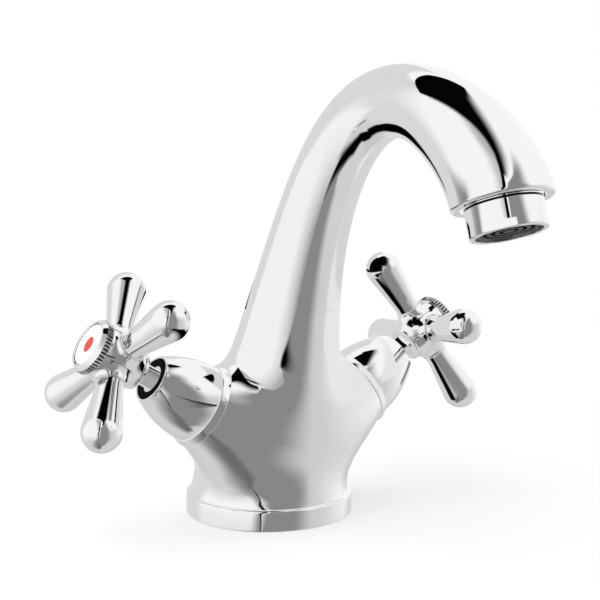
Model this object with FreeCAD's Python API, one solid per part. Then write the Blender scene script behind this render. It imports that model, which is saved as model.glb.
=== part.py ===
import FreeCAD, Part
import math
import os

# Two-handle basin tap: a cast body with a swan-neck spout and two slanted quarter-turn valves.
# Millimetres, +Z up, origin at the centre of the base's underside, spout towards -Y, hot side at -X.

# Base flange
BASE_RADIUS = 30.0
BASE_BAND_HEIGHT = 6.3
BASE_EDGE_ROUND = 1.2
BASE_FOOT_CHAMFER = 0.4
FLANGE_TOP_RISE = 3.0

# Seal ring in the underside
SEAL_INNER_RADIUS = 21.0
SEAL_WIDTH = 4.0
SEAL_GROOVE_DEPTH = 2.4
SEAL_CLEARANCE = 0.05

# Line through the middle of trunk and spout, forward and up from the base's centre
SPINE_RISE = 15.0
LEAN_FORWARD = 24.0
LEAN_UP = 119.5
CROWN_FORWARD = 36.0
CROWN_UP = 188.0
MOUTH_FORWARD = 121.8
MOUTH_UP = 113.4
MOUTH_TILT_ANGLE = 18.0
DROP_LENGTH = 25.8

# Thickness of trunk and spout along that line
ROOT_RADIUS = 30.0
NECK_RADIUS = 10.9
MOUTH_RADIUS = 14.5
MOUTH_CHAMFER = 0.8
TAPER_MIDDLE_SHARE = 0.235
TAPER_WIDTH_SHARE = 0.083
SWELL_START_SHARE = 0.66
SWELL_END_SHARE = 1.03

# Valve axes and shoulders
HANDLE_RISE_ANGLE = 31.05
SEAT_OUT = 31.63
SEAT_FORWARD = 8.5
SEAT_UP = 42.5
SHOULDER_RADIUS = 14.85
SHOULDER_FLARE_ANGLE = 24.06
SHOULDER_CROWN_INSIDE = 250.0
SHOULDER_CROWN_OUTSIDE = 33.0
BLEND_LENGTH = 10.0
MIDDLE_SOFTNESS = 4.0
SIDE_REACH = 32.0
SKIN_MARGIN = 4.0

# Sections of the cast body
BODY_START_SHARE = 0.035
LIFT_START_SHARE = 0.04
LIFT_FULL_SHARE = 0.145
LIFT_FALL_SHARE = 0.19
LIFT_END_SHARE = 0.33
STATION_POWER = 1.5
STATION_COUNT = 54
SECTION_COUNT = 60

# Waterways
WATERWAY_RADIUS = 6.5
WATERWAY_START_SHARE = 0.185
WATERWAY_STATIONS = 14
CROSS_HOLE_RADIUS = 3.0
CROSS_HOLE_UP = 40.5
CROSS_HOLE_REACH = 14.0
INLET_RADIUS = 4.5
INLET_DEPTH = 15.0
INLET_OUT = 11.0
FEED_RADIUS = 3.0
FEED_OVERLAP = 2.0
STUD_HOLE_RADIUS = 3.4
STUD_HOLE_DEPTH = 16.0

# Valve bore and cartridge, heights from the shoulder's seat face
VALVE_BORE_RADIUS = 10.0
VALVE_BORE_DEPTH = 19.0
HOUSING_HEX_FLATS = 20.0
HOUSING_HEX_HEIGHT = 3.2
HOUSING_BARREL_LENGTH = 10.0
HOUSING_NECK_RADIUS = 6.4
HOUSING_NECK_GAP = 1.0
CAGE_RADIUS = 8.2
CAGE_WALL = 0.9
CAGE_ROOF = 6.0
WINDOW_WIDTH = 6.0
WINDOW_HEIGHT = 2.6
GASKET_HEIGHT = 2.4
GASKET_HOLE_RADIUS = 4.6
FIXED_DISC_HEIGHT = 2.6
MOVING_DISC_HEIGHT = 2.7
DISC_CLEARANCE = 0.05
PORT_INNER_RADIUS = 2.0
PORT_OUTER_RADIUS = 6.0
PORT_ANGLE = 80.0
TONGUE_WIDTH = 3.0
TONGUE_DEPTH = 1.1
FIT_CLEARANCE = 0.05
RUNNING_CLEARANCE = 0.05

# Spindle
SPINDLE_RADIUS = 3.9
DRIVE_SIDE = 4.6
DRIVE_ENTRY = 7.2
ORING_GROOVE_START = 6.0
ORING_GROOVE_WIDTH = 2.2
ORING_GROOVE_DEPTH = 1.2
CLIP_THICKNESS = 0.7
CLIP_GROOVE_DEPTH = 0.6
CLIP_RADIUS = 5.0
CLIP_MOUTH_ANGLE = 60.0
CLIP_LIFT = 0.1
SCREW_RADIUS = 1.9
SCREW_HOLE_DEPTH = 9.0

# Bonnet
BONNET_HEIGHT = 22.3
BONNET_RADIUS = 13.7
BONNET_RIM_RADIUS = 15.05
BONNET_RIM_TOP_RADIUS = 14.05
BONNET_RIM_HEIGHT = 2.9
BONNET_RIM_EDGE = 0.3
BONNET_MOUTH_RADIUS = 8.3
BONNET_BORE_RADIUS = 7.6
BONNET_WALL = 1.2
BONNET_CROWN_SHARE = 0.25
SHELF_DROP = 5.5
SHELF_THICKNESS = 1.0
SHELF_HOLE_RADIUS = 6.6
LIP_ROUND = 0.3

# Bush in the bonnet's mouth
BUSH_RECESS = 1.3

# Square neck between bonnet and hub
JOURNAL_RADIUS = 5.75
JOURNAL_LIFT = 0.8
JOURNAL_RECESS = 1.0
NECK_LENGTH = 5.5
SQUARE_SIDE = 7.0
SQUARE_CHAMFER = 0.7
NECK_SPIGOT_RADIUS = 3.7
NECK_SPIGOT_LENGTH = 5.0

# Handle hub, its middle plane carries the arms
HUB_DOME_DEPTH = 9.5
HUB_COLLAR_HEIGHT = 7.2
HUB_RADIUS = 8.4
HUB_RIM_RADIUS = 6.7
HUB_RIM_HEIGHT = 1.0
HUB_DOME_RADIUS = 6.2
HUB_SHOULDER_DROP = 2.8
HUB_DOME_BULGE_SHARE = 0.36
HUB_RECESS_RADIUS = 7.0
HUB_RECESS_DEPTH = 5.5
BOSS_RADIUS = 4.9
BOSS_REACH = 10.0

# Teardrop arms
ARM_COUNT = 4
ARM_ROOT_RADIUS = 4.6
ARM_WAIST_REACH = 12.5
ARM_BULB_RADIUS = 6.6
ARM_BULB_REACH = 28.4
ARM_SPIGOT_RADIUS = 2.4
ARM_SPIGOT_LENGTH = 3.4
HOT_TURN_ANGLE = 35.3
COLD_TURN_ANGLE = -11.6

# Index ring, disc, mark and handle screw
RING_RADIUS = 9.5
RING_HEIGHT = 3.8
RING_BAND_HEIGHT = 2.2
RING_TOOTH_DEPTH = 0.35
RING_TOOTH_COUNT = 48
RING_FACE_RADIUS = 7.9
RING_SKIRT_LENGTH = 2.2
RING_SKIRT_WALL = 0.8
DISC_RADIUS = 7.2
DISC_HEIGHT = 1.5
DISC_RECESS = 0.5
MARK_RADIUS = 2.6
MARK_HEIGHT = 0.3
SCREW_HEAD_RADIUS = 3.4
SCREW_HEAD_HEIGHT = 2.2
SCREW_SLOT_WIDTH = 0.9
SCREW_SLOT_DEPTH = 1.0
SCREW_LENGTH = 11.0

# Aerator, heights along the outlet from the spout's mouth
AERATOR_DROP = 8.5
AERATOR_RADIUS = 10.9
AERATOR_EDGE = 0.5
AERATOR_BORE_RADIUS = 9.3
AERATOR_LIP_RADIUS = 8.8
AERATOR_LIP_HEIGHT = 0.8
AERATOR_THREAD_RADIUS = 10.35
AERATOR_THREAD_LENGTH = 6.4
MOUTH_GAP_RADIUS = 11.7
MOUTH_GAP_DEPTH = 1.6
FLAT_DISTANCE = 10.0
FLAT_HEIGHT = 2.3
FLAT_TURN_ANGLE = 53.0
FLAT_COUNT = 2
INSERT_HEIGHT = 4.2
INSERT_GROOVE_COUNT = 3
INSERT_GROOVE_WIDTH = 1.1
INSERT_GROOVE_SPACING = 2.2
INSERT_GROOVE_DEPTH = 1.6
INSERT_HOLE_COUNT = 8
INSERT_HOLE_RADIUS = 0.45
SCREEN_HEIGHT = 0.6
SCREEN_HOLE_RADIUS = 0.7
SCREEN_RING_SPACING = 2.4
SCREEN_RING_COUNT = 3
SCREEN_FIRST_RING = 6
WASHER_HEIGHT = 1.0
WASHER_HOLE_RADIUS = 7.2

# How far cutting shapes run past what they cut
OVERRUN = 2.0

# Heights along the valve axis from the seat face, each stacked on the one before
SHELF_BOTTOM = BONNET_HEIGHT - SHELF_DROP
HOUSING_NECK_TOP = SHELF_BOTTOM - HOUSING_NECK_GAP
JOURNAL_BOTTOM = SHELF_BOTTOM + JOURNAL_LIFT
JOURNAL_TOP = BONNET_HEIGHT - JOURNAL_RECESS
HUB_BOTTOM = BONNET_HEIGHT + NECK_LENGTH
DRIVE_TOP = HUB_BOTTOM + DRIVE_ENTRY
ARM_PLANE = HUB_BOTTOM + HUB_DOME_DEPTH
HUB_SHOULDER = ARM_PLANE - HUB_SHOULDER_DROP
HUB_TOP = ARM_PLANE + HUB_COLLAR_HEIGHT

ZERO = FreeCAD.Vector(0, 0, 0)
UP = FreeCAD.Vector(0, 0, 1)
SIDEWAYS = FreeCAD.Vector(1, 0, 0)
SLOPE_COS = math.cos(math.radians(HANDLE_RISE_ANGLE))
SLOPE_SIN = math.sin(math.radians(HANDLE_RISE_ANGLE))
MOUTH_SIN = math.sin(math.radians(MOUTH_TILT_ANGLE))
MOUTH_COS = math.cos(math.radians(MOUTH_TILT_ANGLE))
SPINE_POLES = [
    (0, 0),
    (0, SPINE_RISE),
    (LEAN_FORWARD, LEAN_UP),
    (CROWN_FORWARD, CROWN_UP),
    (MOUTH_FORWARD - DROP_LENGTH * MOUTH_SIN, MOUTH_UP + DROP_LENGTH * MOUTH_COS),
    (MOUTH_FORWARD, MOUTH_UP),
]


def smooth_step(value):
    """Rises from 0 to 1 with level ends."""
    value = min(1, max(0, value))
    return value * value * (3 - 2 * value)


def bernstein(poles, t):
    """Point of the Bezier curve with these poles at t, as (y, z)."""
    degree = len(poles) - 1
    forward = 0
    up = 0
    for index, (pole_forward, pole_up) in enumerate(poles):
        weight = math.comb(degree, index) * t ** index * (1 - t) ** (degree - index)
        forward += weight * pole_forward
        up += weight * pole_up
    return -forward, up


def spine_frame(t):
    """Point of the middle line, its unit tangent and its speed, each in the plane X = 0."""
    degree = len(SPINE_POLES) - 1
    steps = []
    for (forward, up), (next_forward, next_up) in zip(SPINE_POLES, SPINE_POLES[1:]):
        steps.append((degree * (next_forward - forward), degree * (next_up - up)))
    y, z = bernstein(SPINE_POLES, t)
    rate_y, rate_z = bernstein(steps, t)
    speed = math.hypot(rate_y, rate_z)
    return (y, z), (rate_y / speed, rate_z / speed), speed


def trunk_radius(t):
    """Radius of the trunk and spout: an S-shaped taper from the root, then a swell to the mouth."""
    taper = 1 / (1 + math.exp((t - TAPER_MIDDLE_SHARE) / TAPER_WIDTH_SHARE))
    swell = smooth_step((t - SWELL_START_SHARE) / (SWELL_END_SHARE - SWELL_START_SHARE))
    return NECK_RADIUS + (ROOT_RADIUS - NECK_RADIUS) * taper + (MOUTH_RADIUS - NECK_RADIUS) * swell


def section_lift(t):
    """Slope at which a section of the body rises towards the shoulders, zero at both ends."""
    rise = smooth_step((t - LIFT_START_SHARE) / (LIFT_FULL_SHARE - LIFT_START_SHARE))
    fall = smooth_step((t - LIFT_FALL_SHARE) / (LIFT_END_SHARE - LIFT_FALL_SHARE))
    return rise * (1 - fall)


def outside_trunk(x, y, z, t):
    """Distance of a point from the trunk's surface, found on the middle line near t."""
    for _ in range(3):
        (spine_y, spine_z), (along_y, along_z), speed = spine_frame(t)
        t += ((y - spine_y) * along_y + (z - spine_z) * along_z) / speed
        t = min(1, max(0, t))
    (spine_y, spine_z), _, _ = spine_frame(t)
    return math.hypot(x, y - spine_y, z - spine_z) - trunk_radius(t)


def outside_shoulder(x, y, z):
    """Distance of a point from the nearer shoulder, a flared body of revolution about the valve axis."""
    out = math.hypot(x, MIDDLE_SOFTNESS) - SEAT_OUT
    up = z - SEAT_UP
    along = out * SLOPE_COS + up * SLOPE_SIN
    across = up * SLOPE_COS - out * SLOPE_SIN
    flare = math.radians(SHOULDER_FLARE_ANGLE)
    crown = SHOULDER_CROWN_OUTSIDE if along > 0 else SHOULDER_CROWN_INSIDE
    radius = SHOULDER_RADIUS - along * math.tan(flare) - along * along / crown
    return (math.hypot(across, y + SEAT_FORWARD) - radius) * math.cos(flare)


def outside_body(x, y, z, t):
    """Both distances joined by a smooth minimum, which rounds the valley between them."""
    trunk = outside_trunk(x, y, z, t)
    shoulder = outside_shoulder(x, y, z)
    near = max(BLEND_LENGTH - abs(trunk - shoulder), 0) / BLEND_LENGTH
    return min(trunk, shoulder) - near * near * BLEND_LENGTH / 4


def body_section(t):
    """Closed curve round the body at t, on rays that rise towards the shoulders."""
    (spine_y, spine_z), (along_y, along_z), _ = spine_frame(t)
    lift = section_lift(t)
    points = []
    for index in range(SECTION_COUNT):
        angle = math.pi / 2 + 2 * math.pi * index / SECTION_COUNT
        side = math.cos(angle)
        back = math.sin(angle)
        rise = side * side * lift * SLOPE_SIN / SLOPE_COS
        ray = (side, back * along_z + rise * along_y, -back * along_y + rise * along_z)
        near = 0
        far = trunk_radius(t) + SIDE_REACH * lift + SKIN_MARGIN
        for _ in range(40):
            middle = (near + far) / 2
            outside = outside_body(middle * ray[0], spine_y + middle * ray[1], spine_z + middle * ray[2], t)
            if outside < 0:
                near = middle
            else:
                far = middle
        points.append(FreeCAD.Vector(near * ray[0], spine_y + near * ray[1], spine_z + near * ray[2]))
    curve = Part.BSplineCurve()
    knots = [index / SECTION_COUNT for index in range(SECTION_COUNT + 1)]
    curve.interpolate(Points=points, PeriodicFlag=True, Parameters=knots)
    return Part.Wire([curve.toShape()])


def turned(outline):
    """Solid of revolution about Z. Each entry is (r, z), or (r, z, mid_r, mid_z) for an arc to (r, z)."""
    corners = [FreeCAD.Vector(entry[0], 0, entry[1]) for entry in outline]
    edges = []
    for index, corner in enumerate(corners):
        following = outline[(index + 1) % len(outline)]
        end = corners[(index + 1) % len(outline)]
        if len(following) == 4:
            middle = FreeCAD.Vector(following[2], 0, following[3])
            edges.append(Part.Arc(corner, middle, end).toShape())
        elif corner.distanceToPoint(end) > 0:
            edges.append(Part.LineSegment(corner, end).toShape())
    return Part.Face(Part.Wire(edges)).revolve(ZERO, UP, 360)


def rod(radius, bottom, top):
    """Round rod on the Z axis."""
    return Part.makeCylinder(radius, top - bottom, FreeCAD.Vector(0, 0, bottom))


def ring(outer, inner, bottom, top):
    """Plain ring on the Z axis."""
    return turned([(inner, bottom), (outer, bottom), (outer, top), (inner, top)])


def bar(width, depth, bottom, top):
    """Upright bar centred on the Z axis."""
    corner = FreeCAD.Vector(-width / 2, -depth / 2, bottom)
    return Part.makeBox(width, depth, top - bottom, corner)


def prism(corners, bottom, top):
    """Upright prism on a closed polygon of (x, y) corners."""
    loop = [FreeCAD.Vector(x, y, bottom) for x, y in corners]
    face = Part.Face(Part.makePolygon(loop + loop[:1]))
    return face.extrude(FreeCAD.Vector(0, 0, top - bottom))


def polar(radius, degrees):
    """Point of a circle about the Z axis, as (x, y)."""
    return radius * math.cos(math.radians(degrees)), radius * math.sin(math.radians(degrees))


def spun(shape, degrees):
    """Copy of a shape turned about the Z axis."""
    copy = shape.copy()
    copy.rotate(ZERO, UP, degrees)
    return copy


def shifted(shape, x, y, z):
    """Copy of a shape moved by x, y, z."""
    copy = shape.copy()
    copy.translate(FreeCAD.Vector(x, y, z))
    return copy


def moved(shape, first, second, third, origin):
    """Copy of a shape whose X, Y and Z axes and origin become these."""
    matrix = FreeCAD.Matrix(
        first[0], second[0], third[0], origin[0],
        first[1], second[1], third[1], origin[1],
        first[2], second[2], third[2], origin[2],
        0, 0, 0, 1)
    copy = shape.copy()
    copy.Placement = FreeCAD.Placement(matrix).multiply(copy.Placement)
    return copy


def at_seat(shape, side):
    """Moves a shape from the valve's own frame to its shoulder: -1 is the hot side, +1 the cold side."""
    inward = (-side * SLOPE_SIN, 0, SLOPE_COS)
    across = (0, -side, 0)
    outward = (side * SLOPE_COS, 0, SLOPE_SIN)
    return moved(shape, inward, across, outward, (side * SEAT_OUT, -SEAT_FORWARD, SEAT_UP))


def at_mouth(shape):
    """Moves a shape from the outlet's own frame, Z along the water, to the spout's mouth."""
    outward = (0, -MOUTH_SIN, -MOUTH_COS)
    across = (0, MOUTH_COS, -MOUTH_SIN)
    return moved(shape, (-1, 0, 0), across, outward, (0, -MOUTH_FORWARD, MOUTH_UP))


def flange():
    """Base flange: a vertical band with a rounded upper edge, sloping into the waist."""
    top = BASE_BAND_HEIGHT + BASE_EDGE_ROUND
    shoulder = BASE_RADIUS - BASE_EDGE_ROUND
    bevel = BASE_EDGE_ROUND * math.sqrt(0.5)
    return turned([
        (0, 0),
        (BASE_RADIUS - BASE_FOOT_CHAMFER, 0),
        (BASE_RADIUS, BASE_FOOT_CHAMFER),
        (BASE_RADIUS, BASE_BAND_HEIGHT),
        (shoulder, top, shoulder + bevel, BASE_BAND_HEIGHT + bevel),
        (shoulder - FLANGE_TOP_RISE, top + FLANGE_TOP_RISE),
        (0, top + FLANGE_TOP_RISE),
    ])


def cast_skin():
    """Outer form of waist, shoulders and spout as one smooth skin."""
    sections = []
    for index in range(STATION_COUNT):
        share = (index / (STATION_COUNT - 1)) ** STATION_POWER
        sections.append(body_section(BODY_START_SHARE + (1 - BODY_START_SHARE) * share))
    return Part.makeLoft(sections, True, False)


def waterway():
    """Round passage through the spout, from the mixing chamber to the mouth."""
    circles = []
    for index in range(WATERWAY_STATIONS):
        share = index / (WATERWAY_STATIONS - 1)
        t = WATERWAY_START_SHARE + (1 - WATERWAY_START_SHARE) * share
        (y, z), (along_y, along_z), _ = spine_frame(t)
        circle = Part.Wire([Part.makeCircle(WATERWAY_RADIUS)])
        circles.append(moved(circle, (1, 0, 0), (0, along_z, -along_y), (0, along_y, along_z), (0, y, z)))
    return Part.makeLoft(circles, True, False)


def mouth_socket():
    """Threaded seat of the aerator with a wider gap at the spout's mouth."""
    depth = MOUTH_GAP_DEPTH + AERATOR_THREAD_LENGTH + WASHER_HEIGHT
    seat = rod(AERATOR_THREAD_RADIUS + FIT_CLEARANCE, -depth, 0)
    gap = rod(MOUTH_GAP_RADIUS, -MOUTH_GAP_DEPTH, OVERRUN)
    outside = MOUTH_RADIUS + OVERRUN
    chamfer = turned([
        (MOUTH_RADIUS - MOUTH_CHAMFER - OVERRUN, OVERRUN),
        (outside, -MOUTH_CHAMFER - OVERRUN),
        (outside, OVERRUN),
    ])
    return seat.fuse([gap, chamfer])


def valve_cuts(side):
    """Seat face, valve bore, inlet and water feed of one shoulder."""
    face = rod(SHOULDER_RADIUS + SKIN_MARGIN, 0, SIDE_REACH)
    bore = rod(VALVE_BORE_RADIUS, -VALVE_BORE_DEPTH, OVERRUN)
    bottom = FreeCAD.Vector(
        side * (SEAT_OUT - VALVE_BORE_DEPTH * SLOPE_COS), -SEAT_FORWARD, SEAT_UP - VALVE_BORE_DEPTH * SLOPE_SIN)
    inlet = Part.makeCylinder(INLET_RADIUS, INLET_DEPTH, FreeCAD.Vector(side * INLET_OUT, 0, 0))
    start = FreeCAD.Vector(side * INLET_OUT, 0, INLET_DEPTH - FEED_OVERLAP)
    run = bottom - start
    feed = Part.makeCylinder(FEED_RADIUS, run.Length, start, run)
    return [at_seat(face, side), at_seat(bore, side), inlet, feed]


def body():
    """The casting: flange and skin joined, then bored for valves, water, stud and seal."""
    shape = flange().fuse(cast_skin())
    cross = Part.makeCylinder(
        CROSS_HOLE_RADIUS, 2 * CROSS_HOLE_REACH,
        FreeCAD.Vector(-CROSS_HOLE_REACH, -SEAT_FORWARD, CROSS_HOLE_UP), SIDEWAYS)
    stud = rod(STUD_HOLE_RADIUS, 0, STUD_HOLE_DEPTH)
    groove = ring(SEAL_INNER_RADIUS + SEAL_WIDTH, SEAL_INNER_RADIUS, -OVERRUN, SEAL_GROOVE_DEPTH)
    cuts = [cross, stud, groove, waterway(), at_mouth(mouth_socket())]
    cuts += valve_cuts(-1) + valve_cuts(1)
    return shape.cut(cuts)


def base_seal():
    """Rubber ring in the groove, level with the underside."""
    return ring(SEAL_INNER_RADIUS + SEAL_WIDTH - SEAL_CLEARANCE, SEAL_INNER_RADIUS + SEAL_CLEARANCE,
                0, SEAL_GROOVE_DEPTH - SEAL_CLEARANCE)


def aerator_shell():
    """Sleeve screwed into the mouth, with two wrench flats at its lower edge and a lip inside."""
    lip = AERATOR_DROP - AERATOR_LIP_HEIGHT
    top = -MOUTH_GAP_DEPTH - AERATOR_THREAD_LENGTH
    sleeve = turned([
        (AERATOR_BORE_RADIUS, top),
        (AERATOR_THREAD_RADIUS, top),
        (AERATOR_THREAD_RADIUS, -MOUTH_GAP_DEPTH),
        (AERATOR_RADIUS, -MOUTH_GAP_DEPTH),
        (AERATOR_RADIUS, AERATOR_DROP - AERATOR_EDGE),
        (AERATOR_RADIUS - AERATOR_EDGE, AERATOR_DROP),
        (AERATOR_LIP_RADIUS, AERATOR_DROP),
        (AERATOR_LIP_RADIUS, lip),
        (AERATOR_BORE_RADIUS, lip),
    ])
    side = 2 * AERATOR_RADIUS
    flats = []
    for index in range(FLAT_COUNT):
        block = bar(side, side, AERATOR_DROP - FLAT_HEIGHT, AERATOR_DROP + OVERRUN)
        outer = shifted(block, 0, FLAT_DISTANCE + AERATOR_RADIUS, 0)
        flats.append(spun(outer, FLAT_TURN_ANGLE + 360 * index / FLAT_COUNT))
    return sleeve.cut(flats)


def aerator_insert():
    """Plastic jet body with concentric grooves, pierced where the grooves run."""
    bottom = AERATOR_DROP - AERATOR_LIP_HEIGHT
    shape = rod(AERATOR_BORE_RADIUS - FIT_CLEARANCE, bottom - INSERT_HEIGHT, bottom)
    cuts = []
    for index in range(1, INSERT_GROOVE_COUNT + 1):
        middle = index * INSERT_GROOVE_SPACING
        cuts.append(ring(middle + INSERT_GROOVE_WIDTH / 2, middle - INSERT_GROOVE_WIDTH / 2,
                         bottom - INSERT_GROOVE_DEPTH, bottom + OVERRUN))
        for hole in range(index * INSERT_HOLE_COUNT):
            x, y = polar(middle, 360 * hole / (index * INSERT_HOLE_COUNT))
            jet = rod(INSERT_HOLE_RADIUS, bottom - INSERT_HEIGHT - OVERRUN, bottom)
            cuts.append(shifted(jet, x, y, 0))
    return shape.cut(cuts)


def aerator_screen():
    """Pierced metal disc above the insert."""
    bottom = AERATOR_DROP - AERATOR_LIP_HEIGHT - INSERT_HEIGHT
    shape = rod(AERATOR_BORE_RADIUS - FIT_CLEARANCE, bottom - SCREEN_HEIGHT, bottom)
    hole = rod(SCREEN_HOLE_RADIUS, bottom - SCREEN_HEIGHT - OVERRUN, bottom + OVERRUN)
    cuts = [hole]
    for index in range(1, SCREEN_RING_COUNT + 1):
        for step in range(index * SCREEN_FIRST_RING):
            x, y = polar(index * SCREEN_RING_SPACING, 360 * step / (index * SCREEN_FIRST_RING))
            cuts.append(shifted(hole, x, y, 0))
    return shape.cut(cuts)


def aerator_washer():
    """Rubber washer between the sleeve's inner end and the bottom of its seat."""
    top = -MOUTH_GAP_DEPTH - AERATOR_THREAD_LENGTH
    return ring(AERATOR_THREAD_RADIUS, WASHER_HOLE_RADIUS, top - WASHER_HEIGHT, top)


def bonnet():
    """Bell over the valve: banded rim on the seat, bulging wall, bored mouth with a shelf for the bush."""
    spread = BONNET_RADIUS - BONNET_MOUTH_RADIUS
    run = BONNET_HEIGHT - BONNET_RIM_HEIGHT
    middle = BONNET_RIM_HEIGHT + run / 2
    crown = BONNET_RADIUS - spread * BONNET_CROWN_SHARE
    shelf_top = SHELF_BOTTOM + SHELF_THICKNESS
    shelf_share = (SHELF_BOTTOM - BONNET_RIM_HEIGHT) / run
    drop = spread * shelf_share * shelf_share
    wide = BONNET_RADIUS - BONNET_WALL
    rim = turned([
        (0, 0),
        (BONNET_RIM_RADIUS - BONNET_RIM_EDGE, 0),
        (BONNET_RIM_RADIUS, BONNET_RIM_EDGE),
        (BONNET_RIM_TOP_RADIUS, BONNET_RIM_HEIGHT - BONNET_RIM_EDGE),
        (BONNET_RIM_TOP_RADIUS - BONNET_RIM_EDGE, BONNET_RIM_HEIGHT),
        (0, BONNET_RIM_HEIGHT),
    ])
    bell = turned([
        (0, BONNET_RIM_EDGE),
        (BONNET_RADIUS, BONNET_RIM_EDGE),
        (BONNET_RADIUS, BONNET_RIM_HEIGHT),
        (BONNET_MOUTH_RADIUS, BONNET_HEIGHT - LIP_ROUND, crown, middle),
        (BONNET_MOUTH_RADIUS - LIP_ROUND, BONNET_HEIGHT),
        (0, BONNET_HEIGHT),
    ])
    hollow = turned([
        (0, -OVERRUN),
        (wide, -OVERRUN),
        (wide, BONNET_RIM_HEIGHT),
        (wide - drop, SHELF_BOTTOM, wide - drop * BONNET_CROWN_SHARE, (BONNET_RIM_HEIGHT + SHELF_BOTTOM) / 2),
        (0, SHELF_BOTTOM),
    ])
    hole = rod(SHELF_HOLE_RADIUS, 0, shelf_top)
    mouth = rod(BONNET_BORE_RADIUS, shelf_top, BONNET_HEIGHT + OVERRUN)
    return rim.fuse(bell).cut([hollow, hole, mouth])


def bonnet_bush():
    """Black ring in the bonnet's mouth that the neck turns in."""
    return ring(BONNET_BORE_RADIUS - FIT_CLEARANCE, JOURNAL_RADIUS + RUNNING_CLEARANCE,
                SHELF_BOTTOM + SHELF_THICKNESS, BONNET_HEIGHT - BUSH_RECESS)


def hexagon(flats, bottom, top):
    """Hexagonal prism on the Z axis."""
    corner = flats / 2 / math.cos(math.pi / 6)
    return prism([polar(corner, 60 * index) for index in range(6)], bottom, top)


def valve_housing():
    """Headwork: hexagon on the seat, barrel in the bore, windowed cage below and a neck for the spindle."""
    floor = GASKET_HEIGHT - VALVE_BORE_DEPTH
    shape = hexagon(HOUSING_HEX_FLATS, 0, HOUSING_HEX_HEIGHT)
    barrel = rod(VALVE_BORE_RADIUS - FIT_CLEARANCE, -HOUSING_BARREL_LENGTH, 0)
    cage = rod(CAGE_RADIUS, floor, 0)
    neck = rod(HOUSING_NECK_RADIUS, 0, HOUSING_NECK_TOP)
    chamber = rod(CAGE_RADIUS - CAGE_WALL, floor - OVERRUN, -CAGE_ROOF)
    bore = rod(SPINDLE_RADIUS + RUNNING_CLEARANCE, -CAGE_ROOF - OVERRUN, HOUSING_NECK_TOP + OVERRUN)
    window_bottom = floor + FIXED_DISC_HEIGHT
    window = bar(2 * VALVE_BORE_RADIUS, WINDOW_WIDTH, window_bottom, window_bottom + WINDOW_HEIGHT)
    return shape.fuse([barrel, cage, neck]).cut([chamber, bore, window])


def seat_gasket():
    """Rubber ring under the fixed disc and the cage."""
    return ring(CAGE_RADIUS, GASKET_HOLE_RADIUS, -VALVE_BORE_DEPTH, GASKET_HEIGHT - VALVE_BORE_DEPTH)


def port(bottom, top, turn):
    """Sector-shaped water port for a ceramic disc."""
    inner = [polar(PORT_INNER_RADIUS, turn + PORT_ANGLE * share) for share in (-0.5, 0, 0.5)]
    outer = [polar(PORT_OUTER_RADIUS, turn + PORT_ANGLE * share) for share in (0.5, 0, -0.5)]
    corners = [FreeCAD.Vector(x, y, bottom) for x, y in inner + outer]
    edges = [
        Part.Arc(corners[0], corners[1], corners[2]).toShape(),
        Part.LineSegment(corners[2], corners[3]).toShape(),
        Part.Arc(corners[3], corners[4], corners[5]).toShape(),
        Part.LineSegment(corners[5], corners[0]).toShape(),
    ]
    return Part.Face(Part.Wire(edges)).extrude(FreeCAD.Vector(0, 0, top - bottom))


def fixed_disc():
    """Lower ceramic disc, keyed in the cage, with two ports."""
    bottom = GASKET_HEIGHT - VALVE_BORE_DEPTH
    top = bottom + FIXED_DISC_HEIGHT
    shape = rod(CAGE_RADIUS - CAGE_WALL - FIT_CLEARANCE, bottom, top)
    return shape.cut([port(bottom - OVERRUN, top + OVERRUN, turn) for turn in (0, 180)])


def moving_disc():
    """Upper ceramic disc, turned by the spindle's tongue, with two ports that meet the lower ones when open."""
    bottom = GASKET_HEIGHT - VALVE_BORE_DEPTH + FIXED_DISC_HEIGHT + DISC_CLEARANCE
    top = bottom + MOVING_DISC_HEIGHT
    shape = rod(CAGE_RADIUS - CAGE_WALL - RUNNING_CLEARANCE, bottom, top)
    slot = bar(2 * CAGE_RADIUS, TONGUE_WIDTH, top - TONGUE_DEPTH, top + OVERRUN)
    ports = [port(bottom - OVERRUN, top + OVERRUN, turn) for turn in (90, 270)]
    return shape.cut([slot] + ports)


def spindle():
    """Valve spindle: drive plate with a tongue, grooved shaft and a square drive for the handle."""
    disc_top = GASKET_HEIGHT - VALVE_BORE_DEPTH + FIXED_DISC_HEIGHT + DISC_CLEARANCE + MOVING_DISC_HEIGHT
    plate = rod(CAGE_RADIUS - CAGE_WALL - RUNNING_CLEARANCE, disc_top, -CAGE_ROOF - DISC_CLEARANCE)
    tongue = bar(2 * PORT_OUTER_RADIUS, TONGUE_WIDTH - 2 * FIT_CLEARANCE, disc_top - TONGUE_DEPTH, disc_top)
    clip_bottom = HOUSING_NECK_TOP + CLIP_LIFT
    shaft_top = clip_bottom + 2 * CLIP_THICKNESS
    shaft = rod(SPINDLE_RADIUS, disc_top, shaft_top)
    drive = bar(DRIVE_SIDE, DRIVE_SIDE, shaft_top - OVERRUN, DRIVE_TOP)
    oring_groove = ring(SPINDLE_RADIUS + OVERRUN, SPINDLE_RADIUS - ORING_GROOVE_DEPTH,
                        ORING_GROOVE_START, ORING_GROOVE_START + ORING_GROOVE_WIDTH)
    clip_groove = ring(SPINDLE_RADIUS + OVERRUN, SPINDLE_RADIUS - CLIP_GROOVE_DEPTH,
                       clip_bottom, clip_bottom + CLIP_THICKNESS)
    screw_hole = rod(SCREW_RADIUS + FIT_CLEARANCE, DRIVE_TOP - SCREW_HOLE_DEPTH, DRIVE_TOP + OVERRUN)
    return plate.fuse([tongue, shaft, drive]).cut([oring_groove, clip_groove, screw_hole])


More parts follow.
